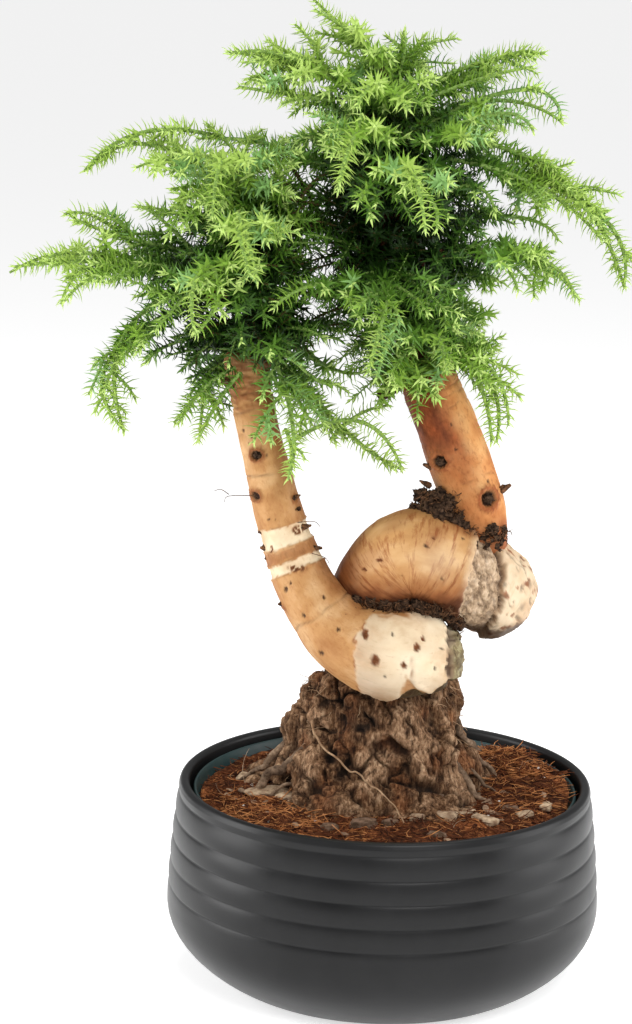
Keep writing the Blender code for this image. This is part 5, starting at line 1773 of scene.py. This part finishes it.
class Crown:
    """Keeps every shoot, and says which mass a place belongs to and how near it is to a limb."""

    def __init__(self, limbs):
        self.shoots = []
        self.spine_places = []
        self.spine_owners = []
        self.limbs = BVHTree.FromPolygons(
            [v.co.copy() for v in limbs.vertices], [tuple(p.vertices) for p in limbs.polygons])
        self.axis = np.vstack([curve_through(leader, 12)[:, :3] for leader, _ in HEART[:2]])

    def add_spine(self, owner, points):
        for place in points:
            self.spine_places.append(place)
            self.spine_owners.append(owner)

    def settle(self):
        self.spine_places = np.array(self.spine_places)
        self.spine_owners = np.array(self.spine_owners)

    def own(self, owner, place):
        apart = np.linalg.norm(self.spine_places - np.array(place), axis=1)
        mine = self.spine_owners == owner
        return apart[mine].min() < apart[~mine].min() + SPACE_MARGIN

    def clear(self, place, margin):
        nearest, normal, index, distance = self.limbs.find_nearest(place * MM)
        return distance > margin * MM and (place * MM - nearest).dot(normal) > 0

    def kept_part(self, owner, points, margin=2.0):
        """The shoot up to where it would leave its own space or meet a limb."""
        kept = list(points[:2])
        for place in points[2:]:
            if not self.clear(place, margin) or (owner is not None and not self.own(owner, place)):
                break
            kept.append(place)
        return kept

    def add(self, points, girth, tone):
        if len(points) > 3:
            self.shoots.append((points, girth, tone))

    def heart_distance(self, place):
        return float(np.linalg.norm(self.axis - np.array(place), axis=1).min())


def shoot_from(line, place, roll, length, lean, droop):
    """Points of a shoot that leaves another: out from it, leaning forward and hanging at its end."""
    at = max(1, min(round(place * (len(line) - 1)), len(line) - 2))
    along = (line[at + 1] - line[at - 1]).normalized()
    across = along.cross(UP)
    if across.length < 0.3:
        across = along.cross(Vector((0, 1, 0)))
    across.normalize()
    lift = across.cross(along)
    out = across * math.cos(roll) + lift * math.sin(roll)
    heading = along * math.cos(lean) + out * math.sin(lean)
    bend = line[at] + heading * length * 0.55
    end = bend + (heading * 0.5 + along * 0.25 - UP * droop).normalized() * length * 0.5
    return arc_points(line[at], bend, end, SHOOT_STEP)


def side_growth(crown, owner, line, chance, reach, spacing, simple_from, first=0.10):
    """Side shoots along a line, left and right by turns, with twigs on the ones near its foot."""
    count = max(int(run_along(line)[-1] / spacing), 2)
    for k in range(count):
        place = first + (0.93 - first) * (k + chance.uniform(-0.3, 0.3)) / count
        if not 0.04 < place < 0.94:
            continue
        simple = place > simple_from
        if simple and chance.random() > 0.34:
            continue
        roll = math.radians(chance.uniform(-28, 28)) + (0 if k % 2 else math.pi)
        size = reach * (1.05 - 0.62 * place) * chance.uniform(0.75, 1.1) * (0.55 if simple else 1.0)
        lean = SIDE_LEAN * chance.uniform(0.85, 1.1)
        side = crown.kept_part(owner, shoot_from(line, place, roll, size, lean, 0.34))
        crown.add(side, 1.15, chance.uniform(-1, 1))
        if len(side) < 6 or simple:
            continue
        for twig_place in (0.30, 0.52, 0.72):
            if chance.random() > 0.46 - place * 0.5:
                continue
            twig_roll = math.radians(chance.uniform(-50, 50)) + chance.choice((0, math.pi))
            length = TWIG_REACH * chance.uniform(0.8, 1.25)
            twig = shoot_from(side, twig_place, twig_roll, length, SIDE_LEAN, 0.12)
            crown.add(crown.kept_part(owner, twig), 0.95, chance.uniform(-1, 1))


guard_parts = bmesh.new()
for name in (*LIMBS, "left_trunk", "right_trunk", "upper_burl", "root_stock"):
    guard_parts.from_mesh(frame["nodes"][name].data)
# The limbs' solids in one mesh, for shoots and needles to stand clear of.
guard = link_in(bpy.data.objects.new("limb_guard", mesh_from(guard_parts, "limb_guard")))
crown = Crown(guard.data)
spines = []
for owner, (name, limb, share, passing, tip, forks) in enumerate(MASSES):
    spine = arc_points(*spine_of(LIMBS[limb], share, passing, tip), SHOOT_STEP)
    branches = []
    for place, fork_tip in forks:
        root = spine[round(place * (len(spine) - 1))]
        end = Vector(fork_tip)
        end -= (end - root).normalized() * TIP_NEEDLES
        branches.append(arc_points(root, (root + end) / 2 + UP * FORK_LIFT, end, SHOOT_STEP))
    spines.append((owner, spine, branches))
    for line in [spine] + branches:
        crown.add_spine(owner, line)
crown.settle()
for owner, spine, branches in spines:
    chance = random.Random(700 + owner)
    crown.add(spine, 1.35, chance.uniform(-1, 1))
    side_growth(crown, owner, spine, chance, SIDE_REACH * 0.82, SIDE_SPACING, SIMPLE_FROM)
    for line in branches:
        crown.add(line, 1.2, chance.uniform(-1, 1))
        side_growth(crown, owner, line, chance, SIDE_REACH * 0.55, SIDE_SPACING * 1.5, 0.42, 0.22)


def free_shoot(limb, share, angle, rise, length, swerve):
    """A shoot of no mass, from a leader or a bough to where it meets a limb. swerve(heading)
    is where its end points."""
    centre, radius, along = place_on(limb, share)
    heading = Vector((math.cos(angle), math.sin(angle), rise)).normalized()
    bend = centre + heading * length * 0.6
    end = bend + swerve(heading).normalized() * length * 0.45
    line = arc_points(centre + heading * (radius + 0.5), bend, end, SHOOT_STEP)
    return crown.kept_part(None, line, LIMB_MARGIN)


for number, (limb, count) in enumerate(HEART):
    chance = random.Random(900 + number)
    for k in range(count):
        share = 0.01 + 0.95 * ((k + 0.5) / count) ** 1.25
        angle = k * GOLDEN_TURN + chance.uniform(-0.3, 0.3)
        rise = chance.uniform(-0.35, 0.45) - 0.5 * max(0.25 - share, 0)
        length = chance.uniform(28, 50) * (1 - 0.35 * share)
        lift = chance.uniform(-0.4, 0.5)
        line = free_shoot(limb, share, angle, rise, length, lambda heading: heading * 0.7 + UP * lift)
        crown.add(line, 1.0, chance.uniform(-1, 1))
        if len(line) > 7:
            for twig_place in (0.35, 0.62):
                roll = chance.uniform(0, 2 * math.pi)
                reach = TWIG_REACH * chance.uniform(0.7, 1.2)
                twig = shoot_from(line, twig_place, roll, reach, SIDE_LEAN, 0.1)
                crown.add(crown.kept_part(None, twig, LIMB_MARGIN), 0.6, chance.uniform(-1, 1))

chance = random.Random(990)
for limb, middle, lowest, highest, short, long, count in BRIDGE:
    for _ in range(count):
        share = chance.uniform(lowest, highest)
        angle = middle + chance.uniform(-0.7, 0.7)
        rise = chance.uniform(-0.1, 0.45)
        length = chance.uniform(short, long)
        sink = chance.uniform(0.1, 0.7)
        line = free_shoot(limb, share, angle, rise, length, lambda heading: heading - UP * sink)
        crown.add(line, 1.0, chance.uniform(-1, 1))

chance = random.Random(991)
for *stops, branched in OUTER_SHOOTS:
    line = crown.kept_part(None, arc_points(*map(Vector, stops), SHOOT_STEP), LIMB_MARGIN)
    crown.add(line, 1.3, chance.uniform(-0.2, 0.9))
    if branched and len(line) > 12:
        side_growth(crown, None, line, chance, 26, 15, 0.62, 0.2)


# The needles: stiff, three-sided, a little curved inwards and drawn to a point. They stand in a
# spiral round each shoot, shorter and closer at its tip. Each tint is one joined piece.

NEEDLE = 9.8               # length
NEEDLE_WIDTH = 1.95
NEEDLE_THICKNESS = 0.75
NEEDLE_STEP = 0.88         # along a shoot, from one needle to the next
NEEDLE_LEAN = math.radians(74)
BUD_LEAN = math.radians(38)
NEEDLE_CLEARANCE = 0.6     # from the limbs
BUD_LENGTH = 9.0           # the young end of a shoot, where needles are short and lean forward
# The tints paint the crown's light and shade: painted shade in its heart and under its heads, painted light
# at its outside. The lime tip tint, laid only on open tips, is partly the young growth's colour and partly
# painted light.
TINTS = (
    # name, colour, up to what openness to the light it is used
    ("deep", (0.012, 0.038, 0.004), 0.40),
    ("shade", (0.040, 0.105, 0.010), 0.54),
    ("leaf", (0.105, 0.230, 0.024), 0.70),
    ("fresh", (0.240, 0.410, 0.052), 0.88),
    ("bright", (0.420, 0.590, 0.125), 1e9),
)
MINT = ("mint", (0.250, 0.450, 0.140))     # the bluish green of one outer shoot in a few
MINT_SHIFT = 0.72
TIP_TINT = ("lime", (0.50, 0.67, 0.185))
TIP_RUN = 7.0              # the end of an outer shoot that has the tip tint
OPEN_TIP = 0.62            # how open a tip must stand to have it
CROWN_HEADS = (
    # middle and half sizes of the two rounded heads of the crown
    ((0, 0, 475), (100, 84, 112)), ((-94, 6, 425), (98, 84, 82)),
)
UNDERSIDE = 0.16           # how much darker a shoot is that hangs under its head
OLD_WOOD = 40.0            # twigs that end this near a leader are old and brown
BOUNDS_MARGIN = 0.2        # needles end this far inside the plant's bounds
STEM_COLOURS = {"old": ((0.10, 0.070, 0.025), 0.8), "green": ((0.27, 0.42, 0.10), 0.55)}


def needle_mesh():
    """A three-sided needle that stands up, bows a little at its middle and ends in a point."""
    half = NEEDLE_WIDTH / 2
    corners = []
    for bow, width, thick, height in (
        (0, half, NEEDLE_THICKNESS, 0), (0.55, half * 0.72, NEEDLE_THICKNESS * 0.7, NEEDLE * 0.48),
    ):
        corners += [(bow, -width, height), (bow, width, height), (bow + thick, 0, height)]
    corners.append((0, 0, NEEDLE))
    faces = [(0, 2, 1)]
    for n in range(3):
        m = (n + 1) % 3
        faces += [(n, m, m + 3, n + 3), (n + 3, m + 3, 6)]
    return outward_mesh("needle", [tuple(c * MM for c in corner) for corner in corners], faces)


def between(share, low, high):
    return node_after("ShaderNodeMix", {0: share, 2: low, 3: high}, data_type="FLOAT")


def turned_by(rotation, axis, angle):
    """A rotation, turned further about one of its own axes."""
    turn = node_after("FunctionNodeAxisAngleToRotation", {"Axis": axis, "Angle": angle})
    return node_after("FunctionNodeRotateRotation", {0: rotation, 1: turn}, rotation_space="LOCAL")


def needle_tree():
    """Sets needles in a spiral along every line of a mesh, leaving off any that would meet a
    limb or stand outside the plant's bounds."""
    tree, given, close = growing_tree("needles_in_a_spiral", {
        "Needle": ("Object", None), "Limbs": ("Object", None), "Length": ("Float", NEEDLE * MM),
        "Step": ("Float", NEEDLE_STEP * MM), "Lean": ("Float", NEEDLE_LEAN), "Bud Lean": ("Float", BUD_LEAN),
        "Bud Length": ("Float", BUD_LENGTH * MM), "Clearance": ("Float", NEEDLE_CLEARANCE * MM),
        "Lowest": ("Vector", None), "Highest": ("Vector", None), "Seed": ("Int", 1),
    })
    line = node_after("GeometryNodeMeshToCurve", {"Mesh": given["Geometry"]})
    feeds = {"Curve": line, "Length": given["Step"]}
    spots = add_node(tree, "GeometryNodeCurveToPoints", feeds, mode="LENGTH").outputs
    number = add_node(tree, "GeometryNodeInputIndex").outputs[0]
    seeds = [plus(given["Seed"], extra) for extra in (1.0, 2.0, 3.0)]
    angle = plus(times(number, GOLDEN_TURN), by_chance(-0.22, 0.22, seeds[0]))
    grown_up = spread(named_value(tree, "to_tip"), 0.0, given["Bud Length"], 0.0, 1.0)
    lean = plus(between(grown_up, given["Bud Lean"], given["Lean"]), by_chance(-0.16, 0.16, seeds[1]))
    turned = turned_by(turned_by(spots["Rotation"], (0, 0, 1), angle), (0, 1, 0), lean)
    long = times(between(grown_up, 0.48, 1.0), by_chance(0.80, 1.08, seeds[2]))
    broad = between(grown_up, 0.75, 1.0)
    here = add_node(tree, "GeometryNodeInputPosition").outputs[0]
    facing = add_node(tree, "GeometryNodeInputNormal").outputs[0]
    limbs = node_after("GeometryNodeObjectInfo", {"Object": given["Limbs"]}, "Geometry")
    faults = []
    for share in (0.55, 1.0):
        arm = combined(0.0, 0.0, times(times(given["Length"], long), share))
        end = vector_step("ADD", here, node_after("FunctionNodeRotateVector", {0: arm, 1: turned}))
        near = node_after("GeometryNodeProximity", {0: limbs, "Sample Position": end}, target_element="FACES")
        feeds = {"Mesh": limbs, "Value": facing, "Sample Position": end}
        out = node_after("GeometryNodeSampleNearestSurface", feeds, data_type="FLOAT_VECTOR")
        clearance = vector_step("DOT_PRODUCT", vector_step("SUBTRACT", end, near), out)
        faults.append(arithmetic("LESS_THAN", clearance, given["Clearance"]))
    within_bounds = times(*(
        node_after("FunctionNodeCompare", {4: end, 5: given[bound]}, data_type="VECTOR", mode="ELEMENT",
                   operation=operation)
        for bound, operation in (("Lowest", "GREATER_THAN"), ("Highest", "LESS_THAN"))
    ))
    fault = arithmetic("MAXIMUM", arithmetic("MAXIMUM", *faults), minus(1.0, within_bounds))
    close(node_after("GeometryNodeInstanceOnPoints", {
        "Points": spots["Points"], "Selection": arithmetic("LESS_THAN", fault, 0.5),
        "Instance": node_after("GeometryNodeObjectInfo", {"Object": given["Needle"]}, "Geometry"),
        "Rotation": turned, "Scale": combined(broad, broad, long),
    }))
    return tree


def stem_tree():
    """Draws every line of a mesh out into a twig of its own girth."""
    tree, given, close = growing_tree("twigs_along_lines", {"Sides": ("Int", 5)})
    line = node_after("GeometryNodeMeshToCurve", {"Mesh": given["Geometry"]})
    ring = node_after("GeometryNodeCurvePrimitiveCircle", {"Resolution": given["Sides"], "Radius": 1.0})
    tube = node_after("GeometryNodeCurveToMesh", {
        "Curve": line, "Profile Curve": ring, "Scale": named_value(tree, "girth"), "Fill Caps": True,
    })
    close(node_after("GeometryNodeSetShadeSmooth", {"Geometry": tube}))
    return tree


def lines_mesh(name, runs):
    """A mesh of loose lines, each point with its girth and its distance to the shoot's tip."""
    corners, edges, girths, left = [], [], [], []
    for points, girth_row, left_row in runs:
        start = len(corners)
        corners += [tuple(p * MM) for p in points]
        edges += [(start + k, start + k + 1) for k in range(len(points) - 1)]
        girths += girth_row
        left += left_row
    mesh = bpy.data.meshes.new(name)
    mesh.from_pydata(corners, edges, [])
    for label, values in (("girth", girths), ("to_tip", left)):
        kept = mesh.attributes.new(label, "FLOAT", "POINT")
        kept.data.foreach_set("value", np.array(values, np.float32) * MM)
    return mesh


def openness(place):
    """How open to the light a place stands: about 0 in the crown's heart and 1 at its outside."""
    apart = []
    for middle, half in CROWN_HEADS:
        offset = [(c - m) / h for c, m, h in zip(place, middle, half)]
        apart.append(math.sqrt(sum(o * o for o in offset)) - UNDERSIDE * max(-offset[2], 0))
    return min(apart)


def tint_at(open_share, to_tip, shift):
    if to_tip < TIP_RUN and open_share > OPEN_TIP:
        return TIP_TINT[0]
    if shift > MINT_SHIFT and open_share > OPEN_TIP:
        return MINT[0]
    for name, colour, reach in TINTS:
        if open_share + shift * 0.10 < reach:
            return name
    return TINTS[-1][0]


def runs_by_tint(shoots):
    """Deals each shoot out to the tints, in runs of points that share one."""
    dealt, stems = {}, {"old": [], "green": []}
    for points, girth, shift in shoots:
        left = run_along(points[::-1])[::-1]
        girths = [girth * (0.60 + 0.40 * min(l / 30, 1)) for l in left]
        tints = [tint_at(openness(p), l, shift) for p, l in zip(points, left)]
        start = 0
        for k in range(1, len(points) + 1):
            if k == len(points) or (tints[k] != tints[start] and k - start > 2 and len(points) - k > 1):
                part = slice(start, min(k + 1, len(points)))
                dealt.setdefault(tints[start], []).append((points[part], girths[part], left[part]))
                start = k
                if part.stop == len(points):
                    break
        inside = crown.heart_distance(points[-1]) < OLD_WOOD and openness(points[-1]) < OPEN_TIP
        kind = "old" if inside else "green"
        stems[kind].append((points, girths, left))
    return dealt, stems


pattern = link_in(bpy.data.objects.new("needle", needle_mesh()))
dealt, stems = runs_by_tint(crown.shoots)
needles, twigs = needle_tree(), stem_tree()
lowest, highest = [
    [c + side * BOUNDS_MARGIN * MM for c in corner] for corner, side in zip(cad_box, (1, -1))
]
for number, (tint, colour) in enumerate([row[:2] for row in TINTS] + [TIP_TINT, MINT]):
    name = f"needles_{tint}"
    finish, shader = plain_material(name, colour, 0.42, specular=0.30)
    mesh = grown(name, lines_mesh(tint, dealt[tint]), needles, finish, Needle=pattern, Limbs=guard,
                 Lowest=lowest, Highest=highest, Seed=20 + number)
    piece_from(name, mesh, finish, [row[0] for row in MASSES])
for kind, (colour, rough) in STEM_COLOURS.items():
    name = f"twigs_{kind}"
    finish, shader = plain_material(name, colour, rough)
    fleck = speckle(object_place(shader), 2.5, detail=3)
    feed(shader, "Base Color", ramp(fleck, (0.35, tuple(c * 0.55 for c in colour)), (0.65, colour)))
    piece_from(name, grown(name, lines_mesh(kind, stems[kind]), twigs, finish), finish, ())
for helper in (guard, pattern):
    bpy.data.objects.remove(helper)
